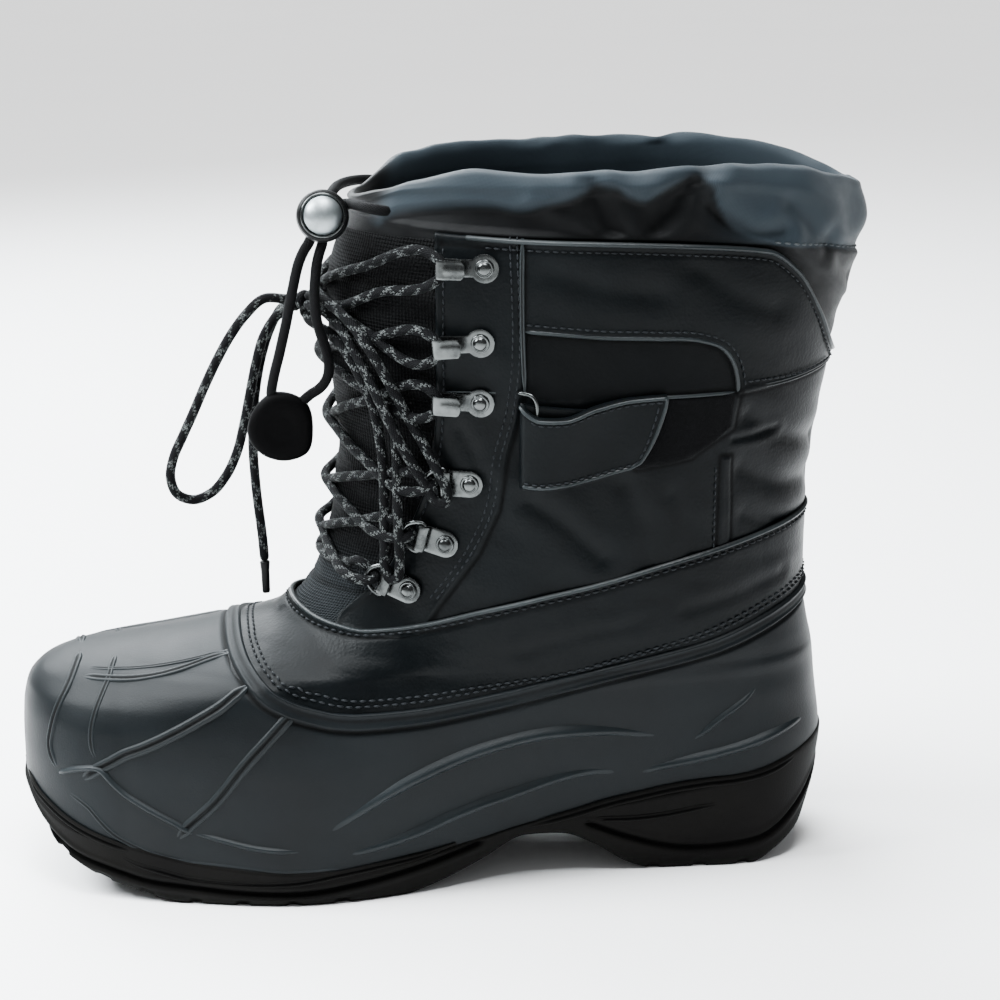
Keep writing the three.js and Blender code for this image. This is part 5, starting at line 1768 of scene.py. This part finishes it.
@dataclass
class Inside:
    """The felt lining of the boot and the insole on its footbed."""

    columns: int = 180
    rows: int = 110

    def lining(self) -> bpy.types.Object:
        """A felt skin just inside the upper, from the footbed to under the collar."""
        turn = round_turns(self.columns)
        low = np.minimum(FORM_OF_BOOT.meet(turn, FOOTBED) + 3.0, 60)
        high = FORM_OF_BOOT.meet(turn, COLLAR_TOP) - 22
        z = FORM_OF_BOOT.spread(turn, low, high, self.rows)
        wide = np.broadcast_to(turn, z.shape)
        return grid(FORM_OF_BOOT.lifted(wide, z, -3.3), True).turned().shown("felt_lining", Slot.FELT)

    def insole(self) -> bpy.types.Object:
        """The insole: rows from its edge to its middle line at the footbed's height."""
        turn = round_turns(self.columns)
        edge_height = FORM_OF_BOOT.meet(turn, FOOTBED) + 5.3
        edge = FORM_OF_BOOT.lifted(turn, edge_height, -3.6)
        edge[:, 0] = np.minimum(edge[:, 0], edge[:, 0].max() - 4)
        edge[:, 2] = FOOTBED.z(edge[:, 0]) + 4.9
        middle = edge.copy()
        middle[:, 1] = FORM_OF_BOOT.middle(middle[:, 0], middle[:, 2])
        share = np.linspace(0, 1, 26)[:, None, None]
        points = edge + (middle - edge) * share
        points[..., 2] += 1.1 * bump(share[..., 0], 0.12) - 0.5 * smooth(share[..., 0], 0.2, 1)
        return grid(points, True).shown("felt_insole", Slot.FELT, "insole", merge=0.02, wall=3.0)


# ---------------------------------------------------------------- strap and its ring


@dataclass
class InstepStrap:
    """The leather strap folded round a wire ring on the outer side.

    Fields are its stations, from the free end round the fold and back to the seam, its thickness,
    and the ring's bends as x, height and distance off the shaft. A station gives the top edge's x
    and height, the lower edge's, and how far the strap stands off the shaft.
    """

    stations: tuple = (
        (69, 188.5, 77, 162.5, 2.4), (82, 187.8, 87, 160, 2.4), (95, 185.6, 97, 157.6, 3.6),
        (107, 182.2, 107, 156, 5.6), (115, 182.6, 115, 155.6, 6.6), (120, 185.6, 120, 156, 6.0),
        (121.6, 187.4, 121.6, 156.4, 3.7), (119, 186.5, 119, 156.2, 1.9), (108, 185, 108, 157, 1.6),
        (96, 184, 97, 158, 1.6),
    )
    thick: float = 1.8
    ring: tuple = ((122.5, 190.5, 1.4), (118, 190, 3.4), (117, 172, 3.9), (117.2, 159.5, 3.9))

    def build(self) -> None:
        """Make the strap, its stitches and the ring."""
        rows = np.array(self.stations, float)
        chord = np.concatenate([[0], np.cumsum(np.hypot(np.diff(rows[:, 0]), np.diff(rows[:, 4])))])
        at = np.linspace(0, chord[-1], 150)
        top_x, top_z, foot_x, foot_z, rise = (follow(chord, column, at) for column in rows.T)
        share = np.linspace(0, 1, 44)[:, None]
        corner = smooth(9 - at, 0, 9)
        x = foot_x + (top_x - foot_x) * share + 3.2 * corner * (1 - share) ** 4 + 1.2 * corner * share**8
        z = foot_z + (top_z - foot_z) * share
        outer = smooth(chord[6] - at, 0, 6)
        lift = rise + outer * (0.9 * share**3 * bump(at - 34, 16) + 0.25 * np.sin(at / 7 + 3 * share))
        points, outwards = FORM_OF_BOOT.skin(FORM_OF_BOOT.turn_at(x, z), z, lift)
        rim = np.minimum(np.minimum(share, 1 - share) * 26, at)
        # painted shade along a line just in from the strap's edges
        piece = grid(points[:, ::-1], painted_shade=(0.4 * bump(rim - 2.2, 0.7))[:, ::-1])
        piece.shown("instep_strap", Slot.LEATHER, "strap", wall=self.thick, rim=0.35)

        out = unit(np.cross(np.gradient(points, axis=1), np.gradient(points, axis=0)))
        out *= np.sign(np.sum(out[:, 20] * outwards[:, 20]))
        last = int(np.searchsorted(at, chord[5]))
        row = np.r_[np.full(last - 1, 2), 3:41, np.full(last + 17, 41)]
        column = np.r_[last:1:-1, np.zeros(38, int), 1:last + 18]
        # the hem wears the lighter leather, a painted highlight
        Welt((), 0.8, 0.55, foot=0.6, fade=0.1).laid(points[row, column], out[row, column]).shown(
            "strap_hem", Slot.LEATHER, finish=EDGE_HIGHLIGHT_LEATHER)
        row = np.r_[np.full(last - 5, 4), 4:40, np.full(last - 5, 39)]
        column = np.r_[last:5:-1, np.full(36, 5), 5:last]
        FINE.sew(points[row, column] + 0.15 * out[row, column], out[row, column]).shown(
            "strap_stitches", Slot.LACE, finish=SEWING_THREAD)

        x, z, lift = np.array(self.ring).T
        wire = FORM_OF_BOOT.on_side(np.stack([x, z], -1), 1, lift)
        rope(curve(wire, 0.8), 0.75, 14).shown("strap_ring_wire", Slot.STEEL, "strap_ring")


# ---------------------------------------------------------------- lace hardware


@dataclass(frozen=True)
class LaceStop:
    """One place on each facing where the lace is held.

    Fields are the kind, the rivet's place, how far the piece points upwards, and its number from
    the bottom.
    """

    kind: str
    x: float
    z: float
    tilt: float
    number: int

    def seat(self, side: int) -> tuple:
        """Middle of the foot, and directions forwards, across and outwards."""
        foot_lift = 1.7
        middle, out = FORM_OF_BOOT.skin(side * FORM_OF_BOOT.turn_at(self.x, self.z), self.z, foot_lift)
        ahead = np.array([math.cos(self.tilt), 0, math.sin(self.tilt)])
        ahead = unit(ahead - out * (ahead @ out))
        return middle, ahead, np.cross(out, ahead), out

    def place(self, local: Array, side: int) -> Array:
        """Carry points from the piece's own frame to the boot."""
        middle, ahead, across, out = self.seat(side)
        return middle + local[..., :1] * ahead + local[..., 1:2] * across + local[..., 2:3] * out


LACE_STOPS = (
    LaceStop("ring_eyelet", 160, 116, 0.33, 1),
    LaceStop("ring_eyelet", 147, 134, 0.26, 2),
    LaceStop("ring_eyelet", 138.5, 156.5, 0.02, 3),
    LaceStop("hook", 135, 186.5, 0, 4),
    LaceStop("hook", 135, 208, -0.1, 5),
    LaceStop("hook", 133.5, 234, 0, 6),
)


# profile of a domed rivet head: radius and height, from its top down
RIVET = np.array([[0.3, 2.72], [1.1, 2.65], [1.8, 2.4], [2.2, 2.0], [2.35, 1.5], [2.6, 1.35], [2.75, 1.5],
                  [3.1, 1.45], [3.3, 1.1], [3.25, 0.6]])


@dataclass
class LaceHardware:
    """Speed hooks and ring eyelets, stamped from sheet steel and riveted on."""

    sheet: float = 1.0

    @staticmethod
    def strip(path: Array, half: Array, columns: int = 9) -> Array:
        """A strip of metal: a side-view path carried across by half widths, rows along it."""
        across = np.linspace(-1, 1, columns)
        return np.stack(np.broadcast_arrays(path[:, :1], across * half[:, None], path[:, 1:]), axis=-1)

    def hook(self) -> Array:
        """Metal strip of a hook: flat about the rivet, curling out and back over itself."""
        flat = np.linspace(-5, 12.6, 44)
        curl = np.linspace(-math.pi / 2, math.pi / 2, 16)
        path = np.concatenate([
            np.stack([flat, np.full(44, 0.5)], -1),
            np.stack([13.2 + 2.6 * np.cos(curl), 3.1 + 2.6 * np.sin(curl)], -1),
            np.stack([np.linspace(12.6, 6.0, 16), 5.7 + 0.25 * np.linspace(0, 1, 16) ** 2], -1),
        ])
        x, along = path[:, 0], lengths(path)
        disc = np.sqrt(np.clip(25 - np.minimum(x, 4.2) ** 2, 0.05, None))
        neck = 3.05 + 0.25 * smooth(along, 13, 16)
        half = np.where(along < 17.6, np.maximum(np.where(x < 4.2, disc, 0), neck * smooth(x, -2, 1)), neck)
        tip = np.clip((along - along[-1] + 1.4) / 1.6, 0, 1)
        strip = self.strip(path, np.maximum(half, 0.2) * np.sqrt(np.clip(1 - tip**2, 0.05, 1)))
        strip[-16:, :, 2] += 0.35 * bump(np.linspace(-1, 1, 9), 0.3)
        return strip

    def ring_eyelet(self) -> Array:
        """Metal strip of a ring eyelet: flat about the rivet and rolled round the ring's bar."""
        flat = np.linspace(-4.7, 8.2, 34)
        roll = np.linspace(-math.pi / 2, math.pi * 0.95, 18)
        path = np.concatenate([
            np.stack([flat, np.full(34, 0.5)], -1),
            np.stack([8.6 + 1.35 * np.cos(roll), 1.85 + 1.35 * np.sin(roll)], -1),
        ])
        half = np.sqrt(np.clip(22.1 - np.minimum(flat, 0) ** 2, 0.05, None))
        return self.strip(path, np.concatenate([half, np.full(18, 4.6)]))

    @staticmethod
    def ring() -> Array:
        """Path of the ring's wire: a straight bar closed by a rounded bow."""
        angle = np.linspace(math.pi / 2, -math.pi / 2, 9)
        bow = [(8.6 + 7.4 * math.cos(a), 5.5 * math.sin(a), 1.85) for a in angle]
        return curve([(8.6, 0.6, 1.85), (8.6, 3.4, 1.85), (8.9, 5.1, 1.85), *bow[1:-1], (8.9, -5.1, 1.85),
                      (8.6, -3.4, 1.85), (8.6, -0.4, 1.85)], 0.5)

    def build(self) -> None:
        """Make every hook and eyelet on both facings."""
        for stop in LACE_STOPS:
            for where, side in (("outer", 1), ("inner", -1)):
                node = f"{stop.kind}_{where}_{stop.number}"
                hooked = stop.kind == "hook"
                plate = grid(stop.place(self.hook() if hooked else self.ring_eyelet(), side))
                if side > 0:
                    plate.turned()
                plate.shown(f"{node}_plate", Slot.STEEL, node, wall=self.sheet, rim=0.22)
                middle, _, _, out = stop.seat(side)
                head = lathe(RIVET, middle, out, 28).turned()
                if not hooked:
                    head = joined(head, rope(stop.place(self.ring(), side), 0.9, 12))
                head.shown(f"{node}_rivet", Slot.STEEL)


# ---------------------------------------------------------------- lacing


@dataclass
class Lacing:
    """The lace: two halves crossing up the tongue, the bow's knot, loops and ends."""

    radius: float = 1.8
    low: float = 0.2
    high: float = 2.7
    hooked: tuple = ((17.6, -4.4, 1.6), (14.6, -2.2, 2.9), (13.5, 0, 3.15), (14.4, 2.4, 3.1),
                     (17.4, 4.8, 2.4))
    ringed: tuple = ((19.5, -2.6, 0.9), (15.6, -1.2, 0.2), (12.4, 0.2, 1.6), (14.4, 1.6, 4.1),
                     (18.6, 3.0, 3.6))

    def half(self, side: int) -> Array:
        """Path of one half, from the middle of the lowest bar to the knot.

        At a ring the lace comes from under its bow up through it; at a hook it runs inside the
        curl. At each crossing one half passes over the other.
        """
        bar = LACE_STOPS[0].z + 5.5
        across = FORM_OF_BOOT.lifted
        path = [across(0, bar, 0.1), across(side * 0.22, bar, 0.2), across(side * 0.45, bar + 0.1, 0.4)]
        ends = []
        for row, stop in enumerate(LACE_STOPS):
            at = side if row % 2 == 0 else -side
            local = np.array(self.hooked if stop.kind == "hook" else self.ringed) * [1, at, 1]
            ends.append(stop.place(local, at))
        for row, points in enumerate(ends):
            path.extend(points)
            if row + 1 < len(ends):
                a, b = points[-1], ends[row + 1][0]
                over = self.high if (row % 2 == 0) == (side > 0) else self.low
                turns = [np.sign(p[1]) * float(FORM_OF_BOOT.turn_at(p[0], p[2])) for p in (a, b)]
                for share, lift in ((0.2, 1.0), (0.38, 0.55), (0.5, over), (0.62, 0.55), (0.8, 0.9)):
                    z = a[2] + (b[2] - a[2]) * share
                    path.append(across(turns[0] + (turns[1] - turns[0]) * share, z, lift))
        last = ends[-1][-1]
        turn = np.sign(last[1]) * float(FORM_OF_BOOT.turn_at(last[0], last[2]))
        path += [across(turn * 0.72, last[2] - 6, 1.2), across(turn * 0.42, last[2] - 13, 1.3),
                 KNOT_AT + [-3.0, 2.0 * np.sign(last[1]), 1.5]]
        return curve(path, 0.8)

    def knot(self) -> Array:
        """Path of the knot: a three-lobed loop over and under itself."""
        t = np.linspace(0, 2 * math.pi, 120)
        x, y, z = np.sin(t) + 2 * np.sin(2 * t), np.cos(t) - 2 * np.cos(2 * t), -np.sin(3 * t)
        return KNOT_AT + np.stack([1.45 * z + 0.5 * x, 1.55 * y, 1.35 * x], axis=-1)

    def build(self) -> None:
        """Make the two halves and the knot."""
        halves = [rope(self.half(side), self.radius, 14) for side in (1, -1)]
        joined(*halves).shown("lacing", Slot.LACE, "lace_crossings")
        rope(self.knot(), self.radius, 14).shown("bow_knot", Slot.LACE, "lace_knot")


ROUTES = {
    "lace_loop_front": (
        (197.6, 7, 214.8), (200.2, 7.6, 216), (203, 8, 216.5), (209, 9.5, 217), (216.5, 11, 211),
        (221.5, 12, 204.5), (226.5, 12.5, 196), (231.5, 13, 186), (236, 13, 176),
        (240, 12.5, 167.5), (243.6, 12, 159.5), (245, 11, 151.5), (242.8, 9.5, 145),
        (237, 8, 142.3), (230.5, 7, 144.5), (225, 6, 150.5), (220.8, 5.5, 159), (217.8, 5, 170),
        (215.4, 4.8, 181), (212.8, 4.5, 192.5), (209.6, 4.2, 202.5), (203.4, 4.4, 210.8),
        (200.4, 4.8, 212.6), (197.4, 5.2, 213.4),
    ),
    "lace_end_front": (
        (196.6, 4.2, 212.6), (199.6, 2.2, 212.8), (202.4, 0.6, 212.2), (205.4, 0, 208.2),
        (208, -0.6, 202.6), (210.2, -1, 196), (212, -1.2, 188.6), (213.4, -1.2, 180.6),
        (214.4, -1, 172.4), (214.8, -0.8, 164.2), (214.8, -0.6, 156), (214.4, -0.4, 147.8),
        (213.8, -0.2, 139.8), (213, 0, 132), (212.4, 0, 126), (212, 0, 120.5), (211.7, 0, 115.5),
    ),
    "lace_loop_side": (
        (194.2, 10.4, 214.6), (192.6, 14.3, 215.2), (189.4, 18.2, 214.4), (185.2, 22.6, 211.4),
        (181.3, 29.1, 207), (177, 34.6, 199.8), (172.4, 40.6, 190.7), (167.2, 44.4, 179.2),
        (162.4, 46.4, 169.7), (157.4, 47.8, 161.1), (153.6, 48.6, 154.6), (151.2, 50, 150.8),
        (148.2, 50.9, 150.3), (147.2, 50.8, 154), (150.2, 49.4, 161.2), (154.3, 47, 169.4),
        (159.3, 44.4, 178.3), (164.4, 43.3, 188), (169.8, 41.3, 197.8), (174.6, 37.8, 205.6),
        (179.2, 32.5, 211.6), (184.6, 26, 216.2), (189.4, 19.6, 218.8), (191.8, 15.2, 219.4),
        (193.8, 10.8, 217.4),
    ),
    "lace_tail_side": (
        (194.4, 10, 211), (193.4, 13.6, 209.6), (190.3, 17.2, 208), (186.8, 20.6, 206.4),
        (180.4, 29.6, 199.7), (176, 34.5, 191.9), (172.6, 36.8, 183.9), (170.4, 37.5, 173.8),
        (168.9, 37.6, 159.3), (168.8, 39.2, 144.9), (169, 41.8, 132.6), (168.8, 42.4, 124.2),
        (167.2, 43.6, 120.6), (164.6, 44.6, 121.4), (163.9, 45.2, 126), (164, 46, 133.2),
        (164.3, 44, 145.5), (164.2, 41.4, 159.9), (165, 40.4, 174.4), (167.4, 39.4, 184.4),
    ),
    "drawcord_near": (
        (165.2, 35.2, 251.6), (168.4, 36.8, 252.2), (172, 36, 252.8), (175.6, 31.4, 253.2),
        (177.2, 26.8, 253), (179.2, 22.6, 252.6), (183.4, 18.4, 251), (187, 18.4, 247.4),
        (188.2, 19.4, 242.8), (188.4, 20.6, 238.4), (189.6, 21.8, 235), (190.6, 22, 231),
        (191.2, 22.6, 226.6), (191.6, 23.4, 222), (191.6, 24.2, 217.4), (191.2, 24.6, 212.8),
        (190.2, 24.4, 208.2), (188.8, 23.6, 203.6), (187.6, 22.4, 199), (187, 22, 194.8),
        (187.4, 21.6, 190.8), (189, 21.2, 187.6), (191.2, 20.8, 185.4), (193.4, 20.4, 184),
        (196, 20.3, 181.8), (199.4, 20.3, 177.4),
    ),
    "drawcord_far": (
        (164.6, -37.6, 252), (168.4, -35.8, 252.8), (172.4, -31.6, 253.4), (176, -26, 253.8),
        (179, -19.6, 254), (181.4, -12.6, 254), (183, -5.4, 253.8), (184.2, 1.6, 253.4),
        (185.4, 7, 252.6), (186.8, 11.6, 251), (188.8, 15.4, 249.6), (190.4, 19, 246.4),
        (191.6, 20.6, 243), (192.8, 21, 239.4), (195, 21, 235.8), (196.8, 21, 231.8),
        (198, 21, 227.6), (199, 21, 223.2), (200, 21, 218.8), (200.9, 21, 214.4), (201.8, 21, 210),
        (202.8, 20.9, 205.8), (203.8, 20.8, 201.6), (204.8, 20.7, 197.6), (205.8, 20.6, 194),
        (206.6, 20.5, 190.8), (207.2, 20.4, 188), (207.6, 20.3, 185.6), (207.9, 20.2, 182.4),
    ),
}


@dataclass
class FreeCords:
    """Everything that hangs loose in front: bow loops, lace ends, drawcord, lock and cord end."""

    lace: float = 3.6
    drawcord: float = 3.8
    lock_at: tuple = (188.2, 22.0, 248.2)
    lock_tilt: float = 0.2

    def cord(self, name: str, route: str, nodes: tuple) -> None:
        """Args:
            name: Name of the piece.
            route: Which route it follows.
            nodes: CAD nodes it stands for.
        """
        of_lace = route.startswith("lace")
        diameter = self.lace if of_lace else self.drawcord
        slot, finish = (Slot.LACE, None) if of_lace else (Slot.PLASTIC, BLACK_CORD)
        path = curve(ROUTES[route], 1.0)
        piece = rope(path, diameter / 2).shown(name, slot, *nodes, finish=finish)
        diameter * MM

    def tip(self) -> bpy.types.Object:
        """The plastic tip on the lace end: a slim sleeve, a little tapered."""
        end = np.array(ROUTES["lace_end_front"][-1], float)
        profile = np.array([[0.3, -12.4], [1.35, -12.2], [1.55, -11.4], [1.62, -4], [1.85, -1.2],
                            [1.95, -0.3], [1.7, 0.1], [0.3, 0.15]])
        return lathe(profile, end, (0.02, 0.0, 1.0), 20).shown("lace_tip_sleeve", Slot.PLASTIC, "lace_tip")

    def lock(self) -> None:
        """The cord lock: a barrel with a bright ring, and its domed push button."""
        axis = (0.0, math.cos(self.lock_tilt), math.sin(self.lock_tilt))
        barrel = np.array([[0.3, -8], [4.6, -8], [5.8, -7.6], [7.6, -6.4], [8.7, -4.6], [9.2, -2], [9.3, 1],
                           [9.25, 3.4], [8.9, 4.9], [8.3, 5.5], [7.3, 5.6], [7.1, 5.1], [7.05, 1.0],
                           [0.3, 0.9]])
        fine = read(np.linspace(0, 13, 79), np.arange(14), barrel)
        lathe(fine, self.lock_at, axis, 48).shown("lock_barrel", Slot.PLASTIC, "lock_body")
        angle = np.linspace(0, 2 * math.pi, 13)
        bead = np.stack([7.45 + 0.5 * np.cos(angle), 5.7 + 0.5 * np.sin(angle)], -1)
        lathe(bead, self.lock_at, axis, 56).shown("lock_bezel", Slot.STEEL, merge=0.01)
        dome = np.array([[0.3, 4.3], [6.5, 4.3], [6.75, 4.6], [6.75, 6.6], [6.5, 7.3], [5.9, 8.1], [4.9, 8.9],
                         [3.6, 9.6], [2.2, 10.1], [1.0, 10.35], [0.25, 10.4]])
        lathe(dome, self.lock_at, axis, 48).shown(
            "lock_push_button", Slot.STEEL, "lock_button", body="lock_button", finish=PEWTER)

    def pull(self) -> bpy.types.Object:
        """The moulded cord end: a rounded triangle, thick in the middle of each face."""
        edge = curve(((207.5, 184.6), (200, 184), (195, 180.5), (193, 171), (195, 162.5), (203, 159.5),
                      (211.5, 162), (216.5, 169), (214.2, 178.5)), 0.9, closed=True)
        middle = edge.mean(axis=0)
        face, over = np.linspace(0.03, 0.7, 14), 0.7 + 0.3 * np.sin(np.linspace(0.1, math.pi / 2, 12))
        inset = np.concatenate([face, over, over[-2::-1], face[-2::-1]])
        side = np.where(np.arange(len(inset)) < 25, 1.0, -1.0)
        high = 3.5 * np.clip(1 - np.clip((inset - 0.7) / 0.3, 0, 1) ** 2.4, 0, 1) ** (1 / 2.2)
        dish = 0.35 * smooth(0.6 - inset, 0, 0.3)
        y = 20.2 - side * (high - dish + 0.2)
        flat = middle + (edge - middle) * inset[:, None, None]
        points = np.stack(np.broadcast_arrays(flat[..., 0], y[:, None], flat[..., 1]), -1)
        return grid(points, True, ends=True).shown("cord_end", Slot.PLASTIC, "cord_pull", finish=SOFT_PLASTIC)

    def build(self) -> None:
        """Make the cords and what hangs on them."""
        tip, pull = self.tip(), self.pull()
        for name, route, pieces in (("bow_loop_front", "lace_loop_front", ()),
                                    ("lace_end_hanging", "lace_end_front", (tip,)),
                                    ("bow_loop_side", "lace_loop_side", ()),
                                    ("lace_tail_tucked", "lace_tail_side", ())):
            self.cord(name, route, (route,))
        for side in ("near", "far"):
            self.cord(f"drawcord_{side}", f"drawcord_{side}",
                      (f"drawcord_run_{side}", f"drawcord_drop_{side}"))
        self.lock()


# ---------------------------------------------------------------- studio


@dataclass
class Studio:
    """Pale floor, soft lights and the camera."""

    eye: tuple = (211.3, 847.9, 376.0)
    look: tuple = (-0.0995, -0.9576, -0.2703)
    lens: float = 84.85

    def light(self, name: str, place: tuple, size: float, power: float, tint: tuple = (1, 1, 1)) -> None:
        """Add a soft square light that faces the middle of the boot."""
        lamp = bpy.data.lights.new(name, "AREA")
        lamp.energy, lamp.size, lamp.color = power, size, tint
        self.hang(name, lamp, place)

    def sky(self, place: tuple, power: float, spread: float) -> None:
        """Add a broad even light from far away."""
        lamp = bpy.data.lights.new("sky", "SUN")
        lamp.energy, lamp.angle = power, math.radians(spread)
        self.hang("sky", lamp, place)

    def hang(self, name: str, lamp: bpy.types.Light, place: tuple) -> None:
        """Hang a lamp and turn it to the middle of the boot."""
        holder = bpy.data.objects.new(name, lamp)
        bpy.context.scene.collection.objects.link(holder)
        self.aim(holder, np.array(place, float), np.array([0.0, 0.0, 0.12]) - np.array(place, float))

    @staticmethod
    def aim(holder: bpy.types.Object, place: Array, direction: Array) -> None:
        """Put an object at a place, its own -Z along a direction and its X level."""
        back = -np.asarray(direction, float) / np.linalg.norm(direction)
        side = np.cross([0.0, 0.0, 1.0], back)
        side /= np.linalg.norm(side)
        up = np.cross(back, side)
        matrix = np.eye(4)
        matrix[:3, 0], matrix[:3, 1], matrix[:3, 2], matrix[:3, 3] = side, up, back, place
        holder.matrix_world = Matrix(matrix.tolist())

    def camera(self) -> None:
        """Add the camera."""
        lens = bpy.data.cameras.new("camera")
        lens.lens, lens.sensor_width, lens.clip_start = self.lens, 36.0, 0.01
        holder = bpy.data.objects.new("camera", lens)
        bpy.context.scene.collection.objects.link(holder)
        self.aim(holder, (np.array(self.eye) - ORIGIN) * MM, np.array(self.look))
        bpy.context.scene.camera = holder

    def floor(self) -> None:
        """Add the floor, a pale disc fading into the world's tone."""
        angle = np.linspace(0, 2 * math.pi, 96, endpoint=False)
        reach = np.array([0.001, 0.4, 1.2, 4.0, 14.0])[:, None]
        points = np.stack(np.broadcast_arrays(reach * np.cos(angle), reach * np.sin(angle), 0 * reach), -1)
        mesh = bpy.data.meshes.new("floor")
        mesh.from_pydata(points.reshape(-1, 3).tolist(), [], grid_faces(5, 96, True)[:, ::-1].tolist())
        shop = Shop("pale floor")
        tone = shop.noise(3, 2)
        mesh.materials.append(shop.finish(shop.blend(tone, (0.90, 0.90, 0.90), (0.93, 0.93, 0.93)), 0.8,
                                          Specular_IOR_Level=0.1))
        holder = bpy.data.objects.new("floor", mesh)
        bpy.context.scene.collection.objects.link(holder)

    def build(self) -> None:
        """Set up the studio."""
        self.camera()
        self.floor()
        world = bpy.data.worlds.new("studio")
        bpy.context.scene.world = world
        world.use_nodes = True
        back = world.node_tree.nodes["Background"]
        back.inputs[0].default_value, back.inputs[1].default_value = (0.96, 0.98, 1.0, 1), 0.36
        self.sky((0.25, -0.2, 3.0), 4.6, 42)
        self.light("back", (0.45, -0.95, 1.0), 1.1, 76, (0.90, 0.96, 1.0))
        self.light("key", (0.80, 0.05, 0.90), 0.5, 50, (0.92, 0.97, 1.0))
        self.light("top", (0.0, 0.25, 1.1), 0.4, 18, (0.93, 0.97, 1.0))


def main() -> None:
    """Build the boot piece by piece over its frame."""
    logging.basicConfig(level=logging.INFO, format="%(message)s")
    Studio().build()
    FreeCords().build()
    Lacing().build()
    LaceHardware().build()
    Outsole().build()
    MouldedShell().build()
    LeatherUpper().build()
    InstepStrap().build()
    CanvasTongue().build()
    NylonCollar().build()
    inside_of_boot = Inside()
    inside_of_boot.lining()
    inside_of_boot.insole()


if __name__ == "__main__":
    main()
